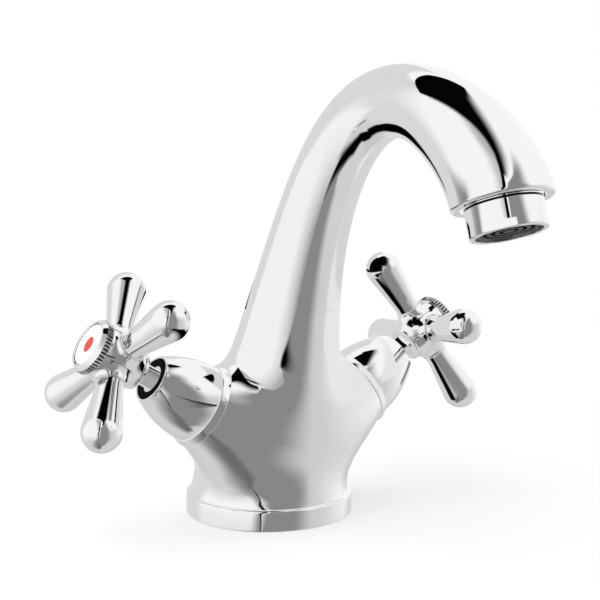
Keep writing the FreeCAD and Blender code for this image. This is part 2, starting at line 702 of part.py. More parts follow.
def spindle_oring():
    """O-ring in the spindle's groove."""
    middle = ORING_GROOVE_START + ORING_GROOVE_WIDTH / 2
    thickness = ORING_GROOVE_DEPTH / 2 - FIT_CLEARANCE / 2
    centre = SPINDLE_RADIUS - ORING_GROOVE_DEPTH / 2
    return Part.makeTorus(centre, thickness, FreeCAD.Vector(0, 0, middle))


def spindle_clip():
    """Open spring clip that keeps the spindle from dropping out of the housing."""
    bottom = HOUSING_NECK_TOP + CLIP_LIFT
    inner = SPINDLE_RADIUS - CLIP_GROOVE_DEPTH + FIT_CLEARANCE
    shape = ring(CLIP_RADIUS, inner, bottom + FIT_CLEARANCE, bottom + CLIP_THICKNESS - FIT_CLEARANCE)
    reach = 2 * CLIP_RADIUS
    corners = [(0, 0), polar(reach, -CLIP_MOUTH_ANGLE / 2), polar(reach, CLIP_MOUTH_ANGLE / 2)]
    return shape.cut(prism(corners, bottom - OVERRUN, bottom + OVERRUN))


def handle_neck():
    """Round journal in the bush, then a chamfered square up to the hub and a spigot in the hub."""
    half = SQUARE_SIDE / 2
    cut = half - SQUARE_CHAMFER
    corners = [
        (half, -cut), (half, cut), (cut, half), (-cut, half),
        (-half, cut), (-half, -cut), (-cut, -half), (cut, -half),
    ]
    square = spun(prism(corners, JOURNAL_BOTTOM, HUB_BOTTOM), 45)
    journal = rod(JOURNAL_RADIUS, JOURNAL_BOTTOM, JOURNAL_TOP)
    spigot = rod(NECK_SPIGOT_RADIUS, JOURNAL_BOTTOM, HUB_BOTTOM + NECK_SPIGOT_LENGTH)
    socket_side = DRIVE_SIDE + 2 * FIT_CLEARANCE
    socket = bar(socket_side, socket_side, JOURNAL_BOTTOM - OVERRUN, HUB_BOTTOM + NECK_SPIGOT_LENGTH + OVERRUN)
    return journal.fuse([square, spigot]).cut(socket)


def handle_hub():
    """Hub: rimmed dome towards the bonnet, straight barrel, four bosses for the arms, recess for the index."""
    dome_bottom = HUB_BOTTOM + HUB_RIM_HEIGHT
    bulge_r = HUB_DOME_RADIUS + (HUB_RADIUS - HUB_DOME_RADIUS) * (1 - HUB_DOME_BULGE_SHARE)
    bulge_z = dome_bottom + (HUB_SHOULDER - dome_bottom) * HUB_DOME_BULGE_SHARE
    shape = turned([
        (0, HUB_BOTTOM),
        (HUB_RIM_RADIUS, HUB_BOTTOM),
        (HUB_RIM_RADIUS, dome_bottom),
        (HUB_DOME_RADIUS, dome_bottom),
        (HUB_RADIUS, HUB_SHOULDER, bulge_r, bulge_z),
        (HUB_RADIUS, HUB_TOP),
        (0, HUB_TOP),
    ])
    boss = Part.makeCylinder(BOSS_RADIUS, BOSS_REACH, FreeCAD.Vector(0, 0, ARM_PLANE), SIDEWAYS)
    hole = Part.makeCylinder(ARM_SPIGOT_RADIUS + FIT_CLEARANCE, ARM_SPIGOT_LENGTH + OVERRUN,
                             FreeCAD.Vector(BOSS_REACH - ARM_SPIGOT_LENGTH, 0, ARM_PLANE), SIDEWAYS)
    turns = [360 * index / ARM_COUNT for index in range(ARM_COUNT)]
    recess_floor = HUB_TOP - HUB_RECESS_DEPTH
    recess = rod(HUB_RECESS_RADIUS, recess_floor, HUB_TOP + OVERRUN)
    spigot_hole = rod(NECK_SPIGOT_RADIUS + FIT_CLEARANCE, HUB_BOTTOM - OVERRUN, HUB_BOTTOM + NECK_SPIGOT_LENGTH)
    drive_side = DRIVE_SIDE + 2 * FIT_CLEARANCE
    drive_hole = bar(drive_side, drive_side, HUB_BOTTOM, DRIVE_TOP + FIT_CLEARANCE)
    screw_hole = rod(SCREW_RADIUS + FIT_CLEARANCE, HUB_BOTTOM, HUB_TOP)
    cuts = [recess, spigot_hole, drive_hole, screw_hole] + [spun(hole, turn) for turn in turns]
    return shape.fuse([spun(boss, turn) for turn in turns]).cut(cuts)


def handle_arm(index):
    """One teardrop arm: spigot in the hub, slim root, round bulb."""
    spigot = BOSS_REACH - ARM_SPIGOT_LENGTH + FIT_CLEARANCE
    run = ARM_BULB_REACH - ARM_WAIST_REACH
    sine = (ARM_BULB_RADIUS - ARM_ROOT_RADIUS) / run
    cosine = math.sqrt(1 - sine * sine)
    touch_r = ARM_BULB_RADIUS * cosine
    touch_z = ARM_BULB_REACH - ARM_BULB_RADIUS * sine
    tip = ARM_BULB_REACH + ARM_BULB_RADIUS
    half = math.sqrt(0.5)
    shape = turned([
        (0, spigot),
        (ARM_SPIGOT_RADIUS, spigot),
        (ARM_SPIGOT_RADIUS, BOSS_REACH),
        (ARM_ROOT_RADIUS, BOSS_REACH),
        (ARM_ROOT_RADIUS * cosine, ARM_WAIST_REACH),
        (touch_r, touch_z),
        (0, tip, ARM_BULB_RADIUS * half, ARM_BULB_REACH + ARM_BULB_RADIUS * half),
    ])
    arm = moved(shape, (0, 1, 0), (0, 0, 1), (1, 0, 0), (0, 0, ARM_PLANE))
    return spun(arm, 360 * index / ARM_COUNT)


def index_ring():
    """Knurled ring round the index, with a bevelled face and a skirt in the hub's recess."""
    top = HUB_TOP + RING_HEIGHT
    band_top = HUB_TOP + RING_BAND_HEIGHT
    teeth = []
    for index in range(RING_TOOTH_COUNT):
        teeth.append(polar(RING_RADIUS, 360 * index / RING_TOOTH_COUNT))
        teeth.append(polar(RING_RADIUS - RING_TOOTH_DEPTH, 360 * (index + 0.5) / RING_TOOTH_COUNT))
    band = prism(teeth, HUB_TOP, band_top)
    face = turned([
        (0, band_top),
        (RING_RADIUS - RING_TOOTH_DEPTH, band_top),
        (RING_FACE_RADIUS, top),
        (0, top),
    ])
    skirt = rod(HUB_RECESS_RADIUS - FIT_CLEARANCE, HUB_TOP - RING_SKIRT_LENGTH, HUB_TOP)
    disc_floor = top - DISC_RECESS - DISC_HEIGHT
    pocket = rod(DISC_RADIUS + FIT_CLEARANCE, disc_floor, top + OVERRUN)
    hole = rod(HUB_RECESS_RADIUS - RING_SKIRT_WALL, HUB_TOP - RING_SKIRT_LENGTH - OVERRUN, top)
    return band.fuse([face, skirt]).cut([pocket, hole])


def index_disc():
    """White disc in the ring, with a shallow pocket for the coloured mark."""
    top = HUB_TOP + RING_HEIGHT - DISC_RECESS
    pocket = rod(MARK_RADIUS + FIT_CLEARANCE, top - MARK_HEIGHT, top + OVERRUN)
    return rod(DISC_RADIUS, top - DISC_HEIGHT, top).cut(pocket)


def index_mark():
    """Coloured enamel dot in the disc."""
    top = HUB_TOP + RING_HEIGHT - DISC_RECESS
    return rod(MARK_RADIUS, top - MARK_HEIGHT, top)


def handle_screw():
    """Slotted screw through the hub into the spindle."""
    seat = HUB_TOP - HUB_RECESS_DEPTH
    top = seat + SCREW_HEAD_HEIGHT
    head = rod(SCREW_HEAD_RADIUS, seat, top)
    shank = rod(SCREW_RADIUS, seat - SCREW_LENGTH, seat)
    slot = bar(2 * SCREW_HEAD_RADIUS + OVERRUN, SCREW_SLOT_WIDTH, top - SCREW_SLOT_DEPTH, top + OVERRUN)
    return head.fuse(shank).cut(slot)


def valve_pieces():
    """Pieces of one valve that stay still, in the valve's own frame."""
    return {
        "valve_housing": valve_housing(),
        "seat_gasket": seat_gasket(),
        "fixed_disc": fixed_disc(),
        "bonnet": bonnet(),
        "bonnet_bush": bonnet_bush(),
    }


def handle_pieces():
    """Pieces that turn with one handle, in the valve's own frame."""
    pieces = {
        "moving_disc": moving_disc(),
        "spindle": spindle(),
        "spindle_oring": spindle_oring(),
        "spindle_clip": spindle_clip(),
        "handle_neck": handle_neck(),
        "handle_hub": handle_hub(),
        "index_ring": index_ring(),
        "index_disc": index_disc(),
        "index_mark": index_mark(),
        "handle_screw": handle_screw(),
    }
    for index in range(ARM_COUNT):
        pieces[f"handle_arm_{index + 1}"] = handle_arm(index)
    return pieces


def tap_pieces():
    """Every piece of the tap in place, by name."""
    pieces = {
        "body": body(),
        "base_seal": base_seal(),
        "aerator_shell": at_mouth(aerator_shell()),
        "aerator_insert": at_mouth(aerator_insert()),
        "aerator_screen": at_mouth(aerator_screen()),
        "aerator_washer": at_mouth(aerator_washer()),
    }
    still = valve_pieces()
    turning = handle_pieces()
    for name, side, turn in (("hot", -1, HOT_TURN_ANGLE), ("cold", 1, COLD_TURN_ANGLE)):
        for piece, shape in still.items():
            pieces[f"{name}_{piece}"] = at_seat(shape, side)
        for piece, shape in turning.items():
            pieces[f"{name}_{piece}"] = at_seat(spun(shape, turn), side)
    return pieces


def main():
    os.makedirs("parts", exist_ok=True)
    for name, shape in tap_pieces().items():
        shape.exportStep(os.path.join("parts", f"{name}.step"))


main()
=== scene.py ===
import math
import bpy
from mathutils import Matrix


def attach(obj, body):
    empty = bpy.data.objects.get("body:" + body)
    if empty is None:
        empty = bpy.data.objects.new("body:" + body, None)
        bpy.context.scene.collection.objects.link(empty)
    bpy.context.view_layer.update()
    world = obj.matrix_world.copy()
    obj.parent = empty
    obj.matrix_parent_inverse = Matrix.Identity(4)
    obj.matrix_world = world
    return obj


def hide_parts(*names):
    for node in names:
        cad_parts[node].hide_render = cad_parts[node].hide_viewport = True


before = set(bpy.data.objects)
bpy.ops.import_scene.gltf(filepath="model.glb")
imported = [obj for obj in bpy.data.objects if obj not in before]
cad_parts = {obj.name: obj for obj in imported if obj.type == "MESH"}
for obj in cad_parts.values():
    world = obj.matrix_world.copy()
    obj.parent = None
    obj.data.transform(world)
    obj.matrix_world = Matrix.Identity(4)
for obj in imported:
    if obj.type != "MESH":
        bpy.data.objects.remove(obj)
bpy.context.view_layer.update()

from types import SimpleNamespace

import bmesh
import bpy
import numpy as np
from bpy.props import FloatProperty, FloatVectorProperty, IntProperty, PointerProperty
from mathutils import Matrix

bl_info = {
    "name": "Basin tap",
    "version": (1, 0, 0),
    "blender": (4, 5, 0),
    "location": "3D View > Sidebar > Tap",
    "description": "Chromed two-handle basin tap on a white studio stage",
    "category": "Object",
}

MM = 0.001
SIDES = (("hot", -1), ("cold", 1))

# Middle line of trunk and spout: poles of a Bezier curve, forward and up from the base's centre, in mm.
MOUTH_TILT = math.radians(18.0)
MOUTH = np.array([121.8, 113.4])
DROP = 25.8 * np.array([math.sin(MOUTH_TILT), -math.cos(MOUTH_TILT)])
SPINE = np.array([(0.0, 0.0), (0.0, 15.0), (24.0, 119.5), (36.0, 188.0), MOUTH - DROP, MOUTH])

# Where the trunk's taper and the spout's swell lie, as shares of the middle line.
TAPER_MIDDLE, TAPER_WIDTH = 0.235, 0.083
SWELL_START, SWELL_RUN = 0.66, 0.37

# Shoulders: slope of their sides, in mm their bow beyond and before the seat and half their gap, and how
# wide they blend into the trunk, as a share of the blend's size.
FLARE = math.radians(24.06)
BOW_BEYOND, BOW_BEFORE, HALF_GAP = 33.0, 250.0, 4.0
BLEND_SHARE = 1.35

# Hollow round the waist: height of its middle and its spread in mm, and how closely it keeps to the front.
HOLLOW_HEIGHT, HOLLOW_SPREAD, HOLLOW_FRONT = 19.0, 15.0, 3.2

# Rays that find the skin: crowding of rows at the foot, shares of the line where they lean with it, rise to
# the shoulders and fall back, how far they reach beyond the trunk in mm, and their columns and rows.
ROW_CROWDING, LEAN_RUN = 1.55, 0.12
LIFT_START, LIFT_RUN, FALL_START, FALL_RUN = 0.075, 0.07, 0.19, 0.14
SHOULDER_REACH, SPARE_REACH = 32, 4
SKIN_COLUMNS, SKIN_ROWS = 240, 300

# Skin's sweep to the flange: growth with the gap to the edge, power, and limit in heights of the flange.
SWEEP_GROWTH, SWEEP_POWER, SWEEP_LIMIT = 0.6, 0.85, 4

# Holes in the casting, in mm: seal groove, blind holes (x, radius, depth), valve bores, outlet's steps.
SEAL_INNER, SEAL_OUTER, SEAL_DEPTH = 21, 25, 2.4
FOOT_HOLES = ((0, 3.4, 16), (-11, 4.5, 15), (11, 4.5, 15))
VALVE_BORE, VALVE_DEPTH, VALVE_CHAMFER = 10, 19, 0.2
RECESS, RECESS_DEPTH = 11.7, 1.6
SOCKET, SOCKET_DEPTH = 10.4, 9
WATERWAY, WATERWAY_DEPTH = 6.5, 16

# Bonnets and bushes: radii, wall and heights below the bonnet's mouth, in mm.
SHELF_BORE, BUSH_SEAT, BUSH_BORE, BUSH_LIP, BONNET_WALL = 6.6, 7.6, 5.8, 4.75, 1.2
SHELF_DROP, BUSH_FOOT_DROP, BUSH_LIP_DROP, BUSH_TOP_DROP, BELL_DROP = 5.5, 4.5, 0.85, 0.15, 0.3

# Necks: the journal's radius and its drop below the mouth, and the cut of the square's corners, in mm.
JOURNAL, JOURNAL_DROP, NECK_CUT = 5.75, 1, 0.7

# Hubs, in mm: hollow round a boss, well under the index, foot and seams, the dome, and how far cuts reach.
HUB_BLEND, HUB_WELL, HUB_WELL_DEPTH, HUB_FOOT, SEAM_DEPTH = 4.2, 7, 5.2, 6.7, 0.35
DOME_SHORT, DOME_IN, DOME_SLOPE = 3.8, 2.2, 0.92
CUT_SPARE, HUB_REACH, CUT_REACH = 2, 22.0, 20

# Arms and indexes, in mm.
ARM_WAIST = 12.5
RING_BORE, RING_TAIL, RING_FACE, KNURL_TOP, KNURL_MIDDLE, KNURL_HALF = 6.9, 2.2, 8.0, 2.0, 1.15, 1.0
DISC_DROP, DISC_THICK, MARK_WELL, MARK_RISE = 0.5, 1.5, 0.3, 0.08

# Aerator, in mm: the sleeve's tail, the jet body's setback, height and grooves, and how loosely pieces fit.
SLEEVE_TAIL, JET_SETBACK, JET_HEIGHT = 8, 0.8, 4.2
JET_GROOVES, JET_GROOVE_HALF, JET_GROOVE_DEPTH = (6.6, 4.4, 2.2), 0.55, 1.6
FIT = 0.05

# Depth of the grooves in knurl and sleeve in mm, and the angle from which an edge stays sharp.
GROOVE = 0.5
SHARP = math.radians(32)


def length(name, value, words):
    """Length property, written in millimetres and kept in metres."""
    return FloatProperty(name=name, description=words, default=value * MM, precision=4,
                         subtype="DISTANCE", unit="LENGTH")


def angle(name, value, words):
    """Angle property, written in degrees and kept in radians."""
    return FloatProperty(name=name, description=words, default=math.radians(value),
                         subtype="ANGLE", unit="ROTATION")


def linear(code):
    """Linear red, green and blue of an sRGB hex colour, with full alpha."""
    srgb = np.array([int(code[i:i + 2], 16) for i in (1, 3, 5)]) / 255
    return (*np.where(srgb <= 0.04045, srgb / 12.92, ((srgb + 0.055) / 1.055) ** 2.4).tolist(), 1.0)


def colour(name, code, words):
    """Colour property, written as sRGB hex and kept linear."""
    return FloatVectorProperty(name=name, description=words, default=linear(code), size=4, min=0.0, max=1.0,
                               subtype="COLOR")


class TapBodySizes(bpy.types.PropertyGroup):
    """Sizes of the cast body."""

    base_radius: length("Base radius", 30.0, "Radius of the flange that stands on the basin")
    base_band: length("Base band", 6.3, "Height of the flange's upright band")
    base_round: length("Base round", 1.2, "Rounding of the flange's upper edge")
    root_radius: length("Root radius", 30.0, "Radius that the trunk tapers from")
    waist_hollow: length("Waist hollow", 4.6, "Greatest depth of the hollow round the front of the waist")
    foot_sweep: length("Foot sweep", 2.7, "Height of the skin's sweep to the flange where it is nearest")
    neck_radius: length("Neck radius", 10.9, "Radius of the slim part of the spout")
    mouth_radius: length("Mouth radius", 14.5, "Radius that the spout swells to at its mouth")
    lip_round: length("Lip round", 0.9, "Rounding of the mouth's edge")
    shoulder_radius: length("Shoulder radius", 14.85, "Radius of a shoulder at its seat face")
    shoulder_blend: length("Shoulder blend", 10.0, "Width of the hollow between trunk and shoulder")
    handle_rise: angle("Handle rise", 31.05, "Slope of the valve axes above the horizon")
    seat_out: length("Seat out", 31.63, "Distance of a seat face from the middle, sideways")
    seat_forward: length("Seat forward", 8.5, "Distance of the valve axes in front of the base's centre")
    seat_up: length("Seat up", 42.5, "Height of a seat face's centre")


class TapHandleSizes(bpy.types.PropertyGroup):
    """Sizes of the bonnets and cross handles, heights along the valve axis."""

    bonnet_height: length("Bonnet height", 22.3, "Height of the bell over its seat")
    bonnet_radius: length("Bonnet radius", 13.7, "Radius of the bell above its rim")
    bonnet_mouth: length("Bonnet mouth", 8.3, "Radius of the bell's mouth")
    rim_radius: length("Rim radius", 15.05, "Radius of the banded rim")
    rim_height: length("Rim height", 2.9, "Height of the banded rim")
    neck_side: length("Neck side", 7.0, "Side of the square neck")
    neck_length: length("Neck length", 5.5, "Square neck between bonnet and hub")
    hub_depth: length("Hub depth", 9.5, "Hub below the plane of the arms")
    hub_collar: length("Hub collar", 7.2, "Hub above the plane of the arms")
    hub_radius: length("Hub radius", 8.4, "Radius of the hub's barrel")
    boss_reach: length("Boss reach", 10.0, "Distance of an arm's seam from the axis")
    boss_radius: length("Boss radius", 4.9, "Radius of the bosses that carry the arms")
    arm_root: length("Arm root", 4.6, "Radius of an arm at its seam")
    arm_bulb: length("Arm bulb", 6.6, "Radius of an arm's round end")
    arm_reach: length("Arm reach", 28.4, "Distance of the round end's centre from the axis")
    ring_radius: length("Ring radius", 9.5, "Radius of the knurled index ring")
    ring_height: length("Ring height", 3.8, "Height of the index ring")
    ring_teeth: IntProperty(name="Ring teeth", description="Ridges round the index ring", default=48, min=12)
    disc_radius: length("Disc radius", 7.2, "Radius of the white index disc")
    mark_radius: length("Mark radius", 2.6, "Radius of the coloured mark")
    hot_turn: angle("Hot turn", 35.3, "Turn of the hot handle when closed")
    cold_turn: angle("Cold turn", -11.6, "Turn of the cold handle when closed")


class TapAeratorSizes(bpy.types.PropertyGroup):
    """Sizes of the aerator, heights along the water from the spout's mouth."""

    drop: length("Drop", 8.5, "How far the sleeve stands out of the mouth")
    radius: length("Radius", 10.9, "Radius of the sleeve")
    bore: length("Bore", 9.3, "Radius inside the sleeve")
    seam: length("Seam", 0.6, "Height of the groove where the sleeve meets the mouth")
    flat_distance: length("Flat distance", 10.0, "Distance of the wrench flats from the axis")
    flat_height: length("Flat height", 2.3, "Height of the wrench flats")
    flat_turn: angle("Flat turn", 143.0, "Direction of the first wrench flat")


class TapFinish(bpy.types.PropertyGroup):
    """Colours of the tap."""

    chrome: colour("Chrome", "#f6f7f7", "Polished chrome plate")
    chrome_haze: colour("Chrome haze", "#f0f1f2", "Chrome where it has been wiped")
    enamel: colour("Enamel", "#f4f4f2", "White index disc")
    hot: colour("Hot", "#c8241e", "Mark of the hot side")
    cold: colour("Cold", "#1f56b4", "Mark of the cold side")
    black: colour("Black", "#060606", "Moulded bush in the bonnet's mouth")
    insert: colour("Insert", "#1c1d1e", "Moulded aerator insert")


def own_properties(group):
    """Properties that a group adds to Blender's own, by key."""
    return {key: prop for key, prop in group.bl_rna.properties.items() if key not in {"rna_type", "name"}}


def plain(group):
    """Values of a property group: lengths in millimetres, everything else as it is kept."""
    values = {}
    for key, prop in own_properties(group).items():
        scale = 1 / MM if prop.unit == "LENGTH" else 1
        values[key] = getattr(group, key) * scale
    return SimpleNamespace(**values)


# Sheets: (points in mm, corner numbers of all faces in a row, number of corners of each face)

def grid(points):
    """Sheet of quads over rows of points whose columns close on themselves.

    Its faces look to the right of the rows' way.
    """
    rows, columns = points.shape[:2]
    row = columns * np.arange(rows - 1)[:, None]
    here = np.arange(columns)
    after = (here + 1) % columns
    quads = np.stack([row + here, row + after, row + columns + after, row + columns + here], -1)
    return points.reshape(-1, 3), quads.ravel(), np.full(quads[..., 0].size, 4)


def joined(*sheets):
    """Several sheets as one."""
    starts = np.cumsum([0] + [len(points) for points, _, _ in sheets])
    return (np.concatenate([points for points, _, _ in sheets]),
            np.concatenate([corners + start for (_, corners, _), start in zip(sheets, starts)]),
            np.concatenate([sizes for _, _, sizes in sheets]))


def placed(sheet, axes, origin):
    """Sheet whose X, Y and Z axes become the rows of axes and whose origin is moved."""
    points, corners, sizes = sheet
    return points @ np.asarray(axes) + np.asarray(origin), corners, sizes


def spun(sheet, turn):
    """Sheet turned about the Z axis."""
    c, s = math.cos(turn), math.sin(turn)
    return placed(sheet, [(c, s, 0), (-s, c, 0), (0, 0, 1)], (0, 0, 0))


def meshed(name, sheet):
    """Mesh of a sheet, in metres."""
    points, corners, sizes = sheet
    mesh = bpy.data.meshes.new(name)
    mesh.vertices.add(len(points))
    mesh.vertices.foreach_set("co", (points * MM).ravel())
    mesh.loops.add(len(corners))
    mesh.loops.foreach_set("vertex_index", corners.astype(np.int32))
    mesh.polygons.add(len(sizes))
    mesh.polygons.foreach_set("loop_start", (np.cumsum(sizes) - sizes).astype(np.int32))
    mesh.update(calc_edges=True)
    return mesh


def unmeshed(mesh):
    """Sheet of a mesh, in millimetres."""
    points = np.empty(3 * len(mesh.vertices))
    corners = np.empty(len(mesh.loops), np.int32)
    sizes = np.empty(len(mesh.polygons), np.int32)
    mesh.vertices.foreach_get("co", points)
    mesh.loops.foreach_get("vertex_index", corners)
    mesh.polygons.foreach_get("loop_total", sizes)
    return points.reshape(-1, 3) / MM, corners, sizes


def cut_back(sheet, origin, normal, rows, reach):
    """Cuts a sheet off at a plane, within reach of the line along normal through origin, and closes it.

    The cut's edge is a ring round that line. Each entry (keep, more, rise) of rows carries the ring on: its
    radius becomes keep times the ring's own plus more, at rise above the plane.
    """
    origin, normal = np.array(origin, float), np.array(normal, float)
    mesh = meshed("cut", sheet)
    bm = bmesh.new()
    bm.from_mesh(mesh)
    near = np.linalg.norm(np.cross(sheet[0] - origin, normal), axis=1) < reach
    near &= (sheet[0] - origin) @ normal > -reach / 2
    bm.verts.ensure_lookup_table()
    verts = [bm.verts[i] for i in np.flatnonzero(near)]
    edges = {edge for vert in verts for edge in vert.link_edges}
    faces = {face for vert in verts for face in vert.link_faces}
    found = bmesh.ops.bisect_plane(bm, geom=verts + list(edges) + list(faces), dist=1e-8,
                                   plane_co=origin * MM, plane_no=normal, clear_outer=True)
    bm.verts.index_update()
    ring = np.array([item.index for item in found["geom_cut"] if isinstance(item, bmesh.types.BMVert)])
    bm.to_mesh(mesh)
    bm.free()
    points, corners, sizes = unmeshed(mesh)
    bpy.data.meshes.remove(mesh)
    slanted = (0.3, 0.5, 0.8)
    first = np.cross(normal, slanted)
    first /= np.linalg.norm(first)
    second = np.cross(normal, first)
    x, y = (points[ring] - origin) @ first, (points[ring] - origin) @ second
    turn = np.argsort(np.arctan2(y, x))
    ring, x, y = ring[turn], x[turn], y[turn]
    own = np.hypot(x, y)
    keep, more, rise = np.array(rows, float).T[..., None]
    radius = keep * own + more
    cap = origin + (radius * x / own)[..., None] * first + (radius * y / own)[..., None] * second
    cap = np.concatenate([points[ring][None], cap + rise[..., None] * normal])
    return joined((points, corners, sizes), grid(cap))


def outline(corners, steps=7):
    """Path through (across, up, round) corners.

    Each corner is turned by a quadratic curve that starts and ends at its round.
    """
    corners = np.array(corners, float)
    point, cut = corners[:, :2], corners[:, 2:]
    way = np.diff(point, axis=0)
    way /= np.maximum(np.linalg.norm(way, axis=1, keepdims=True), 1e-9)
    before, after = np.vstack([way[:1], way]), np.vstack([way, way[-1:]])
    t = np.linspace(0, 1, steps)[:, None, None]
    start, end = point - cut * before, point + cut * after
    path = (1 - t) ** 2 * start + 2 * t * (1 - t) * point + t ** 2 * end
    path = path.transpose(1, 0, 2).reshape(-1, 2)
    return path[np.r_[True, np.abs(np.diff(path, axis=0)).sum(1) > 1e-6]]


def looped(corners):
    """Outline that ends where it starts, for a ring's section."""
    return outline(list(corners) + [corners[0]])


def circle(steps, start=0.0):
    """Even turns once round, the first one start steps on."""
    return 2 * np.pi * (np.arange(steps) + start) / steps


def carried(radius, height, around):
    """Points at a radius and height for every turn about the Z axis."""
    return np.stack([radius * np.cos(around), radius * np.sin(around), height + 0 * around], -1)


def turned(path, steps=128):
    """Surface of revolution: the path (radius, height) carried round the Z axis."""
    radius, height = path.T[..., None]
    return grid(carried(radius, height, circle(steps)))


def smooth(value):
    """Rises from 0 to 1 with level ends: 3 v squared minus 2 v cubed."""
    value = np.clip(value, 0, 1)
    return value * value * (3 - 2 * value)


def merged(first, second, width):
    """Smooth minimum of two distances: a round hollow of that width where they meet."""
    near = np.maximum(width - np.abs(first - second), 0) / width
    return np.minimum(first, second) - near ** 3 * width / 6


def reached(outside, far, steps=34):
    """Where outside changes sign between 0 and far: the span is halved steps times, for all rays at once."""
    low, high = np.zeros_like(far), far.copy()
    for _ in range(steps):
        middle = (low + high) / 2
        inside = outside(middle) < 0
        low, high = np.where(inside, middle, low), np.where(inside, high, middle)
    return low


# Body

def bezier(poles, t):
    """Bezier curve: the sum of its poles times choose(n, i), t to the i and (1 - t) to the (n - i)."""
    n = len(poles) - 1
    i = np.arange(n + 1)
    choose = np.array([math.comb(n, k) for k in i])
    return (choose * t[..., None] ** i * (1 - t[..., None]) ** (n - i)) @ poles


def spine(t):
    """Point of the middle line at t as (y, z), its unit direction and its speed."""
    flip = np.array([-1, 1])
    rate = bezier((len(SPINE) - 1) * np.diff(SPINE, axis=0), t) * flip
    speed = np.linalg.norm(rate, axis=-1)
    return bezier(SPINE, t) * flip, rate / speed[..., None], speed


def trunk_radius(t, s):
    """S-shaped taper from the root to the neck (a logistic curve), then a smooth swell to the mouth."""
    taper = 1 / (1 + np.exp((t - TAPER_MIDDLE) / TAPER_WIDTH))
    swell = smooth((t - SWELL_START) / SWELL_RUN)
    return s.neck_radius + (s.root_radius - s.neck_radius) * taper + (s.mouth_radius - s.neck_radius) * swell


def outside_body(x, y, z, t, s):
    """Distance from the casting: trunk and nearer shoulder, joined by a smooth minimum.

    The trunk is the distance from the middle line less its radius there. A shoulder is a flared body of
    revolution about the valve axis, whose radius falls along the axis by the tangent of its flare and by a
    square term. Both are drawn in at the waist by a bell curve of the height that is deepest in front.
    """
    for _ in range(3):
        centre, way, speed = spine(t)
        ahead = (y - centre[..., 0]) * way[..., 0] + (z - centre[..., 1]) * way[..., 1]
        t = np.clip(t + ahead / speed, 0, 1)
    centre, _, _ = spine(t)
    trunk = np.sqrt(x ** 2 + (y - centre[..., 0]) ** 2 + (z - centre[..., 1]) ** 2) - trunk_radius(t, s)
    cosine, sine = math.cos(s.handle_rise), math.sin(s.handle_rise)
    out, up = np.hypot(x, HALF_GAP) - s.seat_out, z - s.seat_up
    along, across = out * cosine + up * sine, up * cosine - out * sine
    bow = along ** 2 / np.where(along > 0, BOW_BEYOND, BOW_BEFORE)
    radius = s.shoulder_radius - along * math.tan(FLARE) - bow
    shoulder = (np.hypot(across, y + s.seat_forward) - radius) * math.cos(FLARE)
    facing = (0.5 - 0.5 * y / np.hypot(np.hypot(x, y), 1.0)) ** HOLLOW_FRONT
    hollow = s.waist_hollow * facing * np.exp(-((z - HOLLOW_HEIGHT) / HOLLOW_SPREAD) ** 2)
    return merged(trunk, shoulder, BLEND_SHARE * s.shoulder_blend) + hollow


def body_skin(s, around):
    """Rows of points on the casting: rays from the middle line, level at the foot, rising to the shoulders.

    Above the flange the skin leaves the flange's upper edge in a cove that dies away exponentially, the more
    slowly the further the trunk stands back from the edge.
    """
    dense = np.linspace(0, 1, 2001)
    rising = slice(0, 400)
    top = s.base_band + s.base_round
    start = np.interp(top, spine(dense)[0][rising, 1], dense[rising])
    end = 1 - s.lip_round / spine(np.array(1.0))[2]
    t = start + (end - start) * np.linspace(0, 1, SKIN_ROWS) ** ROW_CROWDING
    centre, way, _ = spine(t)
    lean = smooth((t - start) / LEAN_RUN)[:, None]
    way = (1 - lean) * np.array([0, 1]) + lean * way
    way /= np.linalg.norm(way, axis=1, keepdims=True)
    lift = smooth((t - LIFT_START) / LIFT_RUN) * (1 - smooth((t - FALL_START) / FALL_RUN))
    side, back = np.cos(around), np.sin(around)
    rise = side ** 2 * lift[:, None] * math.tan(s.handle_rise)
    ray_y = back * way[:, 1:] + rise * way[:, :1]
    ray_z = -back * way[:, :1] + rise * way[:, 1:]
    begin = np.broadcast_to(t[:, None], rise.shape)

    def at(reach):
        """Points that far along the rays."""
        return reach * side, centre[:, :1] + reach * ray_y, centre[:, 1:] + reach * ray_z

    far = (trunk_radius(t, s) + SHOULDER_REACH * lift + SPARE_REACH)[:, None] + 0 * rise
    points = np.stack(at(reached(lambda reach: outside_body(*at(reach), begin, s), far)), -1)
    radius = np.hypot(points[..., 0], points[..., 1])
    edge = s.base_radius - s.base_round
    sweep = s.foot_sweep + SWEEP_GROWTH * np.maximum(edge - radius[0], 0)
    fade = np.exp(-(np.maximum(points[..., 2] - top, 0) / sweep) ** SWEEP_POWER)
    scale = 1 + fade * (edge / radius - 1)
    points[..., :2] *= np.where(points[..., 2] < SWEEP_LIMIT * top, scale, 1)[..., None]
    return points


def mouth_points(path, around):
    """A path (radius, height) carried round the outlet's axis, heights along the water from the mouth."""
    sine, cosine = math.sin(MOUTH_TILT), math.cos(MOUTH_TILT)
    radius, height = path.T[..., None]
    across = radius * np.sin(around)
    return np.stack([radius * np.cos(around), -MOUTH[0] - across * cosine - height * sine,
                     MOUTH[1] + across * sine - height * cosine], -1)


